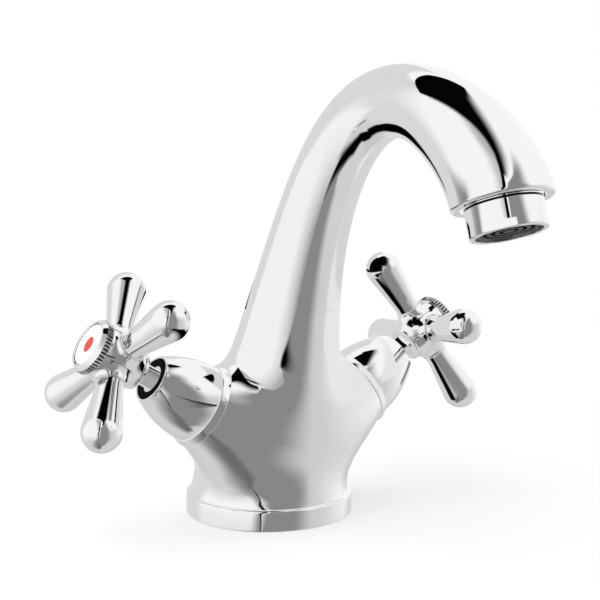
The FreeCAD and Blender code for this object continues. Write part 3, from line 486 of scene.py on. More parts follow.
def foot_plate(radius, holes):
    """Flat underside inside the seal's groove, with blind holes (x, radius, depth) bored up into it."""
    steps, points, edges, total = 48, [], [], 0
    for x, size, count in [(0.0, radius, 120)] + [(x, size, steps) for x, size, _ in holes]:
        points.append(carried(size, 0, circle(count)) + (x, 0, 0))
        here = np.arange(count)
        edges.append(np.stack([here, (here + 1) % count], -1) + total)
        total += count
    mesh = bpy.data.meshes.new("foot")
    mesh.from_pydata((np.concatenate(points) * MM).tolist(), np.concatenate(edges).tolist(), [])
    bm = bmesh.new()
    bm.from_mesh(mesh)
    bmesh.ops.triangle_fill(bm, use_beauty=True, use_dissolve=False, edges=bm.edges[:], normal=(0, 0, -1))
    bm.to_mesh(mesh)
    bm.free()
    sheets = [unmeshed(mesh)]
    bpy.data.meshes.remove(mesh)
    for x, size, depth in holes:
        bore = turned(np.array([(0, depth), (size, depth), (size, 0)], float), steps)
        sheets.append(placed(bore, np.eye(3), (x, 0, 0)))
    return joined(*sheets)


def seat_axes(s, side):
    """Axes and origin of a valve: Z along its axis outwards, X in the upright plane."""
    cosine, sine = math.cos(s.handle_rise), math.sin(s.handle_rise)
    axes = [(-side * sine, 0, cosine), (0, -side, 0), (side * cosine, 0, sine)]
    return axes, (side * s.seat_out, -s.seat_forward, s.seat_up)


def body_sheet(s):
    """Whole casting: underside, flange, skin, rounded mouth and its socket, and the two bored seats."""
    around = np.pi / 2 + circle(SKIN_COLUMNS)
    edge, top = s.base_radius, s.base_band + s.base_round
    foot = outline([(SEAL_INNER, 0, 0), (SEAL_INNER, SEAL_DEPTH, 0.1), (SEAL_OUTER, SEAL_DEPTH, 0.1),
                    (SEAL_OUTER, 0, 0.1), (edge, 0, 0.5), (edge, top, s.base_round),
                    (edge - s.base_round, top, 0)], 9)
    low = carried(foot[:, :1], foot[:, 1:], around)
    skin = body_skin(s, around)
    lip = trunk_radius(np.array(1.0), s)
    bend = np.linspace(0.12, 1, 9) * np.pi / 2
    rounding = np.stack([lip - s.lip_round * (1 - np.cos(bend)), -s.lip_round * (1 - np.sin(bend))], -1)
    socket = outline([(lip - s.lip_round, 0, 0), (RECESS, 0, 0.25), (RECESS, -RECESS_DEPTH, 0.1),
                      (SOCKET, -RECESS_DEPTH, 0.1), (SOCKET, -SOCKET_DEPTH, 0.1),
                      (WATERWAY, -SOCKET_DEPTH, 0.1), (WATERWAY, -WATERWAY_DEPTH, 0),
                      (0, -WATERWAY_DEPTH, 0)])
    mouth = mouth_points(np.vstack([rounding, socket[1:]]), around)
    sheet = grid(np.concatenate([low[:-1], skin, mouth]))
    bore = [(0, VALVE_BORE + VALVE_CHAMFER, 0), (0, VALVE_BORE, -VALVE_CHAMFER),
            (0, VALVE_BORE, -VALVE_DEPTH), (0, 0, -VALVE_DEPTH)]
    for _, side in SIDES:
        axes, origin = seat_axes(s, side)
        sheet = cut_back(sheet, origin, axes[2], bore, s.shoulder_radius + 4)
    return joined(sheet, foot_plate(SEAL_INNER, FOOT_HOLES))


# Bonnets and handles, in the valve's own frame

def stack(h):
    """Heights along the valve axis from the seat face."""
    hub = h.bonnet_height + h.neck_length
    arms = hub + h.hub_depth
    top = arms + h.hub_collar
    return SimpleNamespace(shelf=h.bonnet_height - SHELF_DROP, hub=hub, arms=arms, top=top,
                           disc=top + h.ring_height - DISC_DROP)


def bonnet_sheet(h):
    """Bell: a rim band that leans in, a step, a wall and a mouth.

    The wall's radius falls with the square of its height.
    """
    share = np.linspace(0, 1, 44)
    run = h.bonnet_height - h.rim_height - BELL_DROP
    bell = np.stack([h.bonnet_radius - (h.bonnet_radius - h.bonnet_mouth) * share ** 2,
                     h.rim_height + run * share, 0 * share], -1)
    shelf = stack(h).shelf
    inner = (bell - (BONNET_WALL, 0, 0))[bell[:, 1] < shelf][::-1]
    return turned(looped([
        (h.bonnet_radius - BONNET_WALL, 0, 0), (h.rim_radius, 0, 0.3), (h.rim_radius - 1, h.rim_height, 0.4),
        (h.bonnet_radius + 0.02, h.rim_height - 0.05, 0.08), *bell,
        (h.bonnet_mouth - 0.1, h.bonnet_height, 0.25), (BUSH_SEAT, h.bonnet_height, 0.2),
        (BUSH_SEAT, shelf + 1, 0.1), (SHELF_BORE, shelf + 1, 0.1), (SHELF_BORE, shelf, 0.1),
        (inner[0][0], shelf, 0.1), *inner]), 160)


def bush_sheet(h):
    """Moulded ring in the bonnet's mouth, with rounded edges and a lip over the neck's journal."""
    low, lip, high = (h.bonnet_height - drop for drop in (BUSH_FOOT_DROP, BUSH_LIP_DROP, BUSH_TOP_DROP))
    outer = BUSH_SEAT - FIT
    return turned(looped([(BUSH_BORE, low, 0), (outer, low, 0.2), (outer, high, 0.2), (BUSH_LIP, high, 0.2),
                          (BUSH_LIP, lip, 0.1), (BUSH_BORE, lip, 0.05)]), 96)


def neck_sheet(h):
    """Round journal, then a square with cut corners carried up to the hub."""
    level = stack(h)
    half = h.neck_side / 2
    cut = half - NECK_CUT
    square = [(half, cut), (cut, half), (-cut, half), (-half, cut),
              (-half, -cut), (-cut, -half), (cut, -half), (half, -cut)]
    path = outline([(half, 0, 0)] + [(x, y, 0.16) for x, y in square] + [(half, 0, 0)], 5)[:-1]
    ends = level.shelf + 1.2, level.hub + 0.2
    tube = np.stack([np.c_[path, np.full(len(path), height)] for height in ends])
    foot, rim = level.shelf + 0.8, h.bonnet_height - JOURNAL_DROP
    journal = turned(outline([(0, foot, 0), (JOURNAL, foot, 0.2), (JOURNAL, rim, 0.25), (0, rim, 0)]), 96)
    return joined(journal, spun(grid(tube), math.pi / 4))


def hub_sheet(h):
    """Hub: rays from its middle meet a domed barrel and four bosses joined by smooth minima.

    Flat ends are then cut off it, each with a rounded edge.
    """
    level = stack(h)
    polar = np.linspace(-np.pi / 2, np.pi / 2, 132)[:, None]
    around = circle(224, 0.5)
    ray = carried(np.cos(polar), np.sin(polar), around).transpose(2, 0, 1)
    dome = level.hub + 1

    def outside(reach):
        """Distance from barrel and bosses that far along the rays."""
        x, y, z = reach * ray
        share = np.clip((z + level.arms - dome) / (h.hub_depth - DOME_SHORT), 0, 1)
        barrel = np.hypot(x, y) - (h.hub_radius - DOME_IN * (1 - share) ** 2)
        barrel = np.maximum(barrel * DOME_SLOPE, np.abs(z) - h.hub_depth - CUT_SPARE)
        along, across = np.maximum(np.abs(x), np.abs(y)), np.minimum(np.abs(x), np.abs(y))
        boss = np.maximum(np.hypot(across, z) - h.boss_radius, along - h.boss_reach - CUT_SPARE)
        return merged(barrel, boss, HUB_BLEND)

    reach = reached(outside, np.full(ray.shape[1:], HUB_REACH))
    sheet = grid((reach * ray).transpose(1, 2, 0) + (0, 0, level.arms))
    seam = [(1, -0.03, 0.12), (1, -0.12, 0.24), (1, -0.3, 0.32), (1, -0.6, SEAM_DEPTH), (0, 0, SEAM_DEPTH)]
    well = [(1, -0.04, 0.15), (1, -0.15, 0.26), (1, -0.3, 0.3), (0, HUB_WELL, 0.3),
            (0, HUB_WELL, -HUB_WELL_DEPTH), (0, 0, -HUB_WELL_DEPTH)]
    boss = h.boss_reach - SEAM_DEPTH
    for x, y in ((1, 0), (0, 1), (-1, 0), (0, -1)):
        sheet = cut_back(sheet, (boss * x, boss * y, level.arms), (x, y, 0), seam, CUT_REACH)
    sheet = cut_back(sheet, (0, 0, level.top - 0.3), (0, 0, 1), well, CUT_REACH)
    sheet = cut_back(sheet, (0, 0, dome), (0, 0, -1), [(0, 0, 0)], CUT_REACH)
    rim = outline([(0, level.hub, 0), (HUB_FOOT, level.hub, 0.3), (HUB_FOOT, dome, 0.25),
                   (0, dome + 0.01, 0)])
    return joined(sheet, turned(rim))


def arm_sheet(h, turn):
    """Teardrop arm: a rounded seam, a cone that touches a sphere, and the sphere."""
    sine = (h.arm_bulb - h.arm_root) / (h.arm_reach - ARM_WAIST)
    bend = np.linspace(-math.asin(sine), np.pi / 2, 40)
    bulb = np.stack([h.arm_bulb * np.cos(bend), h.arm_reach + h.arm_bulb * np.sin(bend)], -1)
    root = outline([(0, h.boss_reach, 0), (h.arm_root + 0.05, h.boss_reach, 0.55),
                    (h.arm_root * math.sqrt(1 - sine ** 2), ARM_WAIST, 0)])
    sheet = turned(np.vstack([root, bulb]), 96)
    return spun(placed(sheet, [(0, 1, 0), (0, 0, 1), (1, 0, 0)], (0, 0, stack(h).arms)), turn)


def ring_sheet(h):
    """Index ring: the band's radius dips between its ridges like a cosine.

    A sloped face and an inner edge close it.
    """
    base, edge, well = stack(h).top, h.ring_radius, h.disc_radius + 0.28
    top = base + h.ring_height
    knurl, tail = base + KNURL_TOP, base - RING_TAIL
    path = looped([(HUB_WELL, base, 0), (edge - 0.25, base, 0.1), (edge, base + 0.3, 0.1),
                   (edge, knurl, 0.1), (edge - 0.3, knurl + 0.3, 0.15), (RING_FACE, top, 0.35),
                   (well, top, 0.2), (well, top - 1.9, 0.1), (RING_BORE, top - 2, 0.1),
                   (RING_BORE, tail, 0.1), (HUB_WELL, tail, 0)])
    around = circle(8 * h.ring_teeth)
    radius, height = path.T[..., None]
    band = smooth((radius - edge + 0.4) / 0.3) * smooth((knurl + 0.4 - height) / 0.2)
    radius = radius - GROOVE * band * (0.5 - 0.5 * np.cos(h.ring_teeth * around)) ** 0.8
    return grid(carried(radius, height, around))


def disc_sheet(h):
    """White disc with a rounded edge and a shallow round well for its mark."""
    top, edge, well = stack(h).disc, h.disc_radius, h.mark_radius + 0.06
    low, floor = top - DISC_THICK, top - MARK_WELL
    return turned(outline([(0, low, 0), (edge, low, 0.1), (edge, top, 0.3), (well, top, 0.12),
                           (well, floor, 0.05), (0, floor, 0)]))


def mark_sheet(h):
    """Enamel drop in the disc's well, its upper side domed like a parabola."""
    top = stack(h).disc
    share = np.linspace(1, 0, 14)
    dome = np.stack([h.mark_radius * share, top - MARK_RISE + MARK_RISE * (1 - share ** 2)], -1)
    return turned(np.vstack([[(0, top - MARK_WELL), (h.mark_radius, top - MARK_WELL)], dome]), 64)


# Aerator, in the outlet's own frame

def shell_sheet(a):
    """Sleeve: its section carried round the outlet, the radius held inside two flats at the lower edge."""
    spread = math.acos(a.flat_distance / a.radius)
    step, thread, deep = a.drop - a.flat_height, SOCKET - FIT, a.radius - GROOVE
    edges = [a.flat_turn + half + way * spread for half in (0, math.pi) for way in (-1, 1)]
    around = np.sort(np.mod(np.r_[circle(192) + 0.003, edges], 2 * np.pi))
    path = looped([(a.bore, -SLEEVE_TAIL, 0), (thread, -SLEEVE_TAIL, 0.2), (thread, -RECESS_DEPTH, 0),
                   (a.radius, -RECESS_DEPTH, 0.15), (a.radius, 0, 0), (deep, 0.02, 0), (deep, a.seam, 0),
                   (a.radius, a.seam + 0.02, 0.1), (a.radius, step - 0.02, 0), (a.radius, step, 0),
                   (a.radius, a.drop, 0.5), (a.bore, a.drop, 0.2)])
    radius, height = path.T[..., None]
    flat = a.flat_distance / np.maximum(np.abs(np.cos(around - a.flat_turn)), 0.1)
    lower = np.where(height > step - 0.01, np.minimum(radius, flat - (a.radius - radius) * 0.6), radius)
    radius = np.where(radius > thread - 0.15, lower, radius)
    return grid(carried(radius, height, around))


def insert_sheet(a):
    """Jet body: concentric ridges and grooves in its lower face."""
    face, edge = a.drop - JET_SETBACK, a.bore - FIT
    top, floor = face - JET_HEIGHT, face - JET_GROOVE_DEPTH
    corners = [(0, top, 0), (edge, top, 0.1), (edge, face, 0.15)]
    for middle in JET_GROOVES:
        outer, inner = middle + JET_GROOVE_HALF, middle - JET_GROOVE_HALF
        corners += [(outer, face, 0.12), (outer, floor, 0.1), (inner, floor, 0.1), (inner, face, 0.12)]
    return turned(outline(corners + [(0, face, 0)], 5))


# Materials

def add(tree, kind, inputs=None, **settings):
    """Adds a node. settings are its own fields; inputs give its sockets a value or another node's output."""
    node = tree.nodes.new("ShaderNode" + kind)
    for key, value in settings.items():
        setattr(node, key, value)
    for key, value in (inputs or {}).items():
        if isinstance(value, bpy.types.NodeSocket):
            tree.links.new(value, node.inputs[key])
        else:
            node.inputs[key].default_value = value
    return node


def emptied(owner):
    """Node tree of a material or world, without nodes."""
    owner.use_nodes = True
    owner.node_tree.nodes.clear()
    return owner.node_tree


def seen(tree):
    """1 for rays from the eye, mirrors and glass, 0 for all others."""
    path = add(tree, "LightPath").outputs
    direct = add(tree, "Math", {0: path["Is Camera Ray"], 1: path["Is Glossy Ray"]}, operation="MAXIMUM")
    direct = add(tree, "Math", {0: direct.outputs[0], 1: path["Is Transmission Ray"]}, operation="MAXIMUM")
    return direct.outputs[0]


def surface(name, low, high, grain_mm, rough, values, bump_mm=0.0):
    """Material whose colour and roughness wander between two values over grains of a real size.

    values set the shader's other sockets. Where a mesh keeps a groove's depth, shade is painted into the
    colour: it darkens with the depth.
    """
    made = bpy.data.materials.new(name)
    tree = emptied(made)
    place = add(tree, "TexCoord").outputs["Object"]
    grain = add(tree, "TexNoise", {"Vector": place, "Scale": 1 / (grain_mm * MM), "Detail": 3.0})
    grain = grain.outputs["Fac"]
    # Painted shade: the colour darkens towards near black (#1c1c1d) with a groove's depth.
    groove = add(tree, "Attribute", attribute_name="groove").outputs["Fac"]
    tint = add(tree, "Mix", {"Factor": grain, "A": low, "B": high}, data_type="RGBA")
    tint = add(tree, "Mix", {"Factor": groove, "A": tint.outputs[2], "B": linear("#1c1c1d")},
               data_type="RGBA")
    gloss = add(tree, "MapRange", {"Value": grain, "From Min": 0.3, "From Max": 0.7,
                                   "To Min": rough[0], "To Max": rough[1]})
    inputs = {"Base Color": tint.outputs[2], "Roughness": gloss.outputs["Result"], **values}
    if bump_mm:
        bump = add(tree, "Bump", {"Height": grain, "Strength": 1.0, "Distance": bump_mm * MM})
        inputs["Normal"] = bump.outputs["Normal"]
    shader = add(tree, "BsdfPrincipled", inputs)
    add(tree, "OutputMaterial", {"Surface": shader.outputs["BSDF"]})
    return made


def finishes(f):
    """Every finish of the tap by the record's slot."""
    metal, glass = {"Metallic": 1.0}, {"IOR": 1.5}
    acetal = {"IOR": 1.48, "Specular IOR Level": 0.03}
    polypropylene = {"IOR": 1.49, "Specular IOR Level": 0.3}
    rows = {
        # Bright chrome over polished brass: a mirror with a faint haze left by wiping.
        "chrome": ("polished_chrome_plate", f.chrome, f.chrome_haze, 7.0, (0.012, 0.03), metal),
        # Turned brass: warm metal with fine tool haze.
        "brass": ("turned_brass", linear("#c9a45c"), linear("#b98f45"), 0.8, (0.2, 0.32), metal),
        # Stainless steel: grey metal with a slightly rough look.
        "steel": ("stainless_steel", linear("#b9bbbe"), linear("#a4a7ab"), 0.6, (0.22, 0.34), metal),
        # Sintered ceramic: lapped off-white disc with a dull shine.
        "ceramic": ("lapped_alumina", linear("#e8e6df"), linear("#dcd9d0"), 0.5, (0.25, 0.35),
                    {"IOR": 1.76}),
        # Nitrile rubber: matt black with a fine moulded grain.
        "black_rubber": ("nitrile_rubber", linear("#151516"), linear("#1d1d1f"), 0.4, (0.6, 0.75),
                         {"IOR": 1.52}, 0.02),
        # Moulded acetal: deep black, nearly without shine.
        "black_plastic": ("moulded_acetal", f.black, linear("#0b0b0b"), 0.5, (0.55, 0.7), acetal, 0.004),
        # Moulded polypropylene: dark grey, satin, with a fine grain.
        "dark_plastic": ("moulded_polypropylene", f.insert, linear("#262728"), 0.4, (0.35, 0.5),
                         polypropylene, 0.005),
        # Fired white enamel: smooth, glassy, with a faint unevenness.
        "white_enamel": ("white_enamel", f.enamel, linear("#ececea"), 2.5, (0.1, 0.16), glass, 0.003),
        # Coloured enamel in the marks: glassy, a little thinner and paler in places.
        "hot_enamel": ("red_enamel", f.hot, linear("#d4332b"), 1.2, (0.1, 0.16), glass, 0.003),
        "cold_enamel": ("blue_enamel", f.cold, linear("#2b64c4"), 1.2, (0.1, 0.16), glass, 0.003),
    }
    return {slot: surface(*row) for slot, row in rows.items()}


def finish_of(context, slot):
    """Finish for a slot, made once."""
    found = {made.get("slot"): made for made in bpy.data.materials}
    if slot not in found:
        for key, made in finishes(context.scene.tap_finish).items():
            made["slot"] = key
            found[key] = made
    return found[slot]


def piece(context, name, sheet, body, slot, *nodes, mirrored=True):
    """Object at the origin from a sheet: doubles merged, smooth but for sharp edges, riding on its body.

    mirrored says whether the other pieces show it in their mirror images.
    """
    mesh = meshed(name, sheet)
    bm = bmesh.new()
    bm.from_mesh(mesh)
    bmesh.ops.remove_doubles(bm, verts=bm.verts[:], dist=2e-6)
    bm.to_mesh(mesh)
    bm.free()
    mesh.shade_smooth()
    mesh.set_sharp_from_angle(angle=SHARP)
    mesh.materials.append(finish_of(context, slot))
    made = bpy.data.objects.new(name, mesh)
    made.visible_glossy = mirrored
    context.scene.collection.objects.link(made)
    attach(made, body)
    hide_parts(*nodes)
    return made


# Stage

class TAP_OT_stage(bpy.types.Operator):
    """Sets the camera, white floor, world, lamp and the cards that the chrome mirrors"""

    bl_idname = "tap.stage"
    bl_label = "Stage"

    def execute(self, context):
        scene = context.scene
        scene.view_settings.view_transform = "Standard"
        set_camera(scene)
        set_world(scene)
        set_floor(scene)
        set_lamp(scene)
        set_cards(scene)
        return {"FINISHED"}


# Where the camera stands: azimuth and elevation seen from the tap, then mm away, to the right and up.
CAMERA_AZIMUTH = math.radians(32.8)
CAMERA_ELEVATION = math.radians(6.14)
CAMERA_AWAY, CAMERA_RIGHT, CAMERA_UP = 429.6, 11.34, 75.96
FORWARD = np.array([-math.sin(CAMERA_AZIMUTH), -math.cos(CAMERA_AZIMUTH), 0.0])
RIGHT = np.array([math.cos(CAMERA_AZIMUTH), -math.sin(CAMERA_AZIMUTH), 0.0])
ABOVE = np.array([0.0, 0.0, 1.0])

# Focal length in pixels of an image that many pixels wide, and the sensor's width in mm.
FOCAL_PIXELS, IMAGE_PIXELS, SENSOR_WIDTH = 1175, 600, 36.0

# Lamp: place and side in metres, and power in watts.
LAMP_PLACE = 900 * (0.45 * FORWARD - 0.55 * RIGHT + 1.0 * ABOVE) * MM
LAMP_SIDE, LAMP_POWER = 1.2, 9.0

# Floor, in mm: half its side, its drop below the tap, its grain, and where its white starts and is full.
FLOOR_HALF, FLOOR_DROP, FLOOR_GRAIN, WHITE_START, WHITE_FULL = 4000, 0.02, 40, 40, 260

# Cards: slants between which they show, from 0 square on to 1 along them, the fade there, the middle of the
# tent in mm, and the points along a card's side.
ANY_SLANT, NOT_GRAZING, OBLIQUE = (-1.0, 2.0), (-1.0, 0.55), (0.1, 0.62)
SLANT_FADE = 0.1
TENT_MIDDLE = np.array([0, -40, 80])
CARD_STEPS = 121


def set_camera(scene):
    """Camera at the photograph's place, looking level-headed at the tap."""
    back = math.cos(CAMERA_ELEVATION) * FORWARD + math.sin(CAMERA_ELEVATION) * ABOVE
    up = math.cos(CAMERA_ELEVATION) * ABOVE - math.sin(CAMERA_ELEVATION) * FORWARD
    eye = (CAMERA_AWAY * back + CAMERA_RIGHT * RIGHT + CAMERA_UP * up) * MM
    data = bpy.data.cameras.new("camera")
    data.sensor_width = SENSOR_WIDTH
    data.lens = SENSOR_WIDTH * FOCAL_PIXELS / IMAGE_PIXELS
    data.clip_start = 0.01
    made = bpy.data.objects.new("camera", data)
    made.matrix_world = Matrix(np.vstack([np.stack([RIGHT, up, back, eye], 1), (0, 0, 0, 1)]).tolist())
    scene.collection.objects.link(made)
    scene.camera = made


def set_world(scene):
    """White surroundings: full white to the eye, mirrors and glass, and a plain level for all else."""
    world = bpy.data.worlds.new("white studio")
    tree = emptied(world)
    level = add(tree, "MapRange", {"Value": seen(tree), "To Min": 0.75, "To Max": 1.0})
    shade = add(tree, "Background", {"Color": linear("#ffffff"), "Strength": level.outputs["Result"]})
    add(tree, "OutputWorld", {"Surface": shade.outputs["Background"]})
    scene.world = world


def stage_object(scene, name, points, made):
    """Stage mesh from an open grid of points in mm."""
    rows, columns = points.shape[:2]
    first = (columns * np.arange(rows - 1)[:, None] + np.arange(columns - 1)).reshape(-1, 1)
    quads = first + np.array([0, 1, columns + 1, columns])
    mesh = meshed(name, (points.reshape(-1, 3), quads.ravel(), np.full(len(quads), 4)))
    mesh.shade_smooth()
    mesh.materials.append(made)
    stage = bpy.data.objects.new(name, mesh)
    scene.collection.objects.link(stage)
    return stage


def set_floor(scene):
    """Plain pale floor: a white sheet that keeps the tap's soft shadow and turns pure white away from it."""
    made = bpy.data.materials.new("white_floor")
    tree = emptied(made)
    place = add(tree, "TexCoord").outputs["Object"]
    grain = add(tree, "TexNoise", {"Vector": place, "Scale": 1 / (FLOOR_GRAIN * MM), "Detail": 2.0})
    tint = add(tree, "Mix", {"Factor": grain.outputs["Fac"], "A": linear("#f6f6f6"), "B": linear("#f9f9f9")},
               data_type="RGBA")
    shader = add(tree, "BsdfPrincipled", {"Base Color": tint.outputs[2], "Roughness": 0.9,
                                          "Specular IOR Level": 0.0})
    away = add(tree, "VectorMath", {0: place}, operation="LENGTH")
    white = add(tree, "MapRange", {"Value": away.outputs["Value"], "From Min": WHITE_START * MM,
                                   "From Max": WHITE_FULL * MM, "To Min": 0.55, "To Max": 1.0},
                interpolation_type="SMOOTHSTEP")
    share = add(tree, "Math", {0: seen(tree), 1: white.outputs["Result"]}, operation="MULTIPLY")
    glow = add(tree, "Emission", {"Color": linear("#ffffff"), "Strength": 1.0})
    both = add(tree, "MixShader", {0: share.outputs[0], 1: shader.outputs["BSDF"],
                                   2: glow.outputs["Emission"]})
    add(tree, "OutputMaterial", {"Surface": both.outputs[0]})
    span = np.linspace(-FLOOR_HALF, FLOOR_HALF, 5)
    x, y = np.meshgrid(span, span)
    stage_object(scene, "floor", np.stack([x, y, 0 * x - FLOOR_DROP], -1), made).visible_glossy = False


def set_lamp(scene):
    """One wide soft lamp high on the left, hidden from mirrors."""
    data = bpy.data.lights.new("soft_lamp", "AREA")
    data.shape = "SQUARE"
    data.size = LAMP_SIDE
    data.energy = LAMP_POWER
    made = bpy.data.objects.new("soft_lamp", data)
    made.location = LAMP_PLACE
    made.rotation_mode = "QUATERNION"
    back = LAMP_PLACE / np.linalg.norm(LAMP_PLACE)
    axes = np.stack([RIGHT, np.cross(back, RIGHT), LAMP_PLACE], 1)
    made.rotation_quaternion = Matrix(axes.tolist()).to_quaternion()
    made.visible_glossy = False
    scene.collection.objects.link(made)


def card_material(name, code, slants):
    """Flat card that only shows its own tone from its front, fading out by the share kept at each point.

    Only rays that meet it between the two slants show it; the rest pass through.
    """
    made = bpy.data.materials.new(name)
    tree = emptied(made)
    share = add(tree, "Attribute", attribute_name="share").outputs["Fac"]
    behind = add(tree, "NewGeometry").outputs["Backfacing"]
    front = add(tree, "Math", {0: 1.0, 1: behind}, operation="SUBTRACT")
    kept = add(tree, "Math", {0: share, 1: front.outputs[0]}, operation="MULTIPLY")
    slant = add(tree, "LayerWeight", {"Blend": 0.5}).outputs["Facing"]
    for nothing, full in ((slants[0], slants[0] + SLANT_FADE), (slants[1], slants[1] - SLANT_FADE)):
        low, high = min(nothing, full), max(nothing, full)
        held = add(tree, "MapRange", {"Value": slant, "From Min": low, "From Max": high,
                                      "To Min": float(nothing > full), "To Max": float(nothing < full)})
        kept = add(tree, "Math", {0: kept.outputs[0], 1: held.outputs["Result"]}, operation="MULTIPLY")
    glow = add(tree, "Emission", {"Color": linear(code), "Strength": 1.0})
    clear = add(tree, "BsdfTransparent")
    both = add(tree, "MixShader", {0: kept.outputs[0], 1: clear.outputs["BSDF"],
                                   2: glow.outputs["Emission"]})
    add(tree, "OutputMaterial", {"Surface": both.outputs[0]})
    return made


def card(scene, name, code, points, share, slants=ANY_SLANT):
    """Stage sheet that only mirrors see; share, from 0 to 1 at each point, is how much of it is there."""
    made = stage_object(scene, name, points, card_material(name, code, slants))
    held = made.data.attributes.new("share", "FLOAT", "POINT")
    held.data.foreach_set("value", share.ravel())
    for ray in ("camera", "diffuse", "transmission", "volume_scatter", "shadow"):
        setattr(made, f"visible_{ray}", False)


def straight(low, high, *sides):
    """Edges of a patch whose sides and fades stay the same from its first level to its last."""
    return [(low, *sides), (high, *sides)]


def patch(edges, first, last):
    """Grid over a patch with straight edges: levels, places across and the share of it that is there.

    Each entry of edges is (level, left, right, left fade, right fade); first and last are the end fades.
    """
    sides = np.array(edges, float).T
    level = np.linspace(sides[0, 0], sides[0, -1], CARD_STEPS)[:, None]
    left, right, left_fade, right_fade = (np.interp(level, sides[0], side) for side in sides[1:])
    across = left + (right - left) * np.linspace(0, 1, CARD_STEPS)
    share = smooth((across - left) / left_fade) * smooth((right - across) / right_fade)
    share = share * smooth((level - level[0]) / first) * smooth((level[-1] - level) / last)
    return level + 0 * across, across, share


def far_card(scene, name, code, distance, first, last, edges):
    """Patch of a sphere round the tap.

    Levels are elevations; left and right count from the camera's own direction.
    """
    up, around, share = patch(edges, first, last)
    up, around = np.radians(up)[..., None], np.radians(around)[..., None]
    way = np.cos(up) * (np.cos(around) * FORWARD + np.sin(around) * RIGHT) + np.sin(up) * ABOVE
    card(scene, name, code, (distance * way + TENT_MIDDLE)[:, ::-1], share[:, ::-1])


def level_card(scene, name, code, height, facing, first, last, edges):
    """Level sheet at a height in mm, facing 1 up or -1 down.

    Levels run towards the camera, left and right to its right.
    """
    along, across, share = patch(edges, first, last)
    points = across[..., None] * RIGHT + along[..., None] * FORWARD + height * ABOVE
    card(scene, name, code, points[:, ::-facing], share[:, ::-facing])


def upright_card(scene, name, code, out, facing, slants, first, last, edges):
    """Sheet across the tap's x axis at a distance out in mm, facing 1 or -1 along it: levels are heights."""
    rise, across, share = patch(edges, first, last)
    points = np.stack([0 * across + out, across, rise], -1)
    card(scene, name, code, points[:, ::facing], share[:, ::facing], slants)


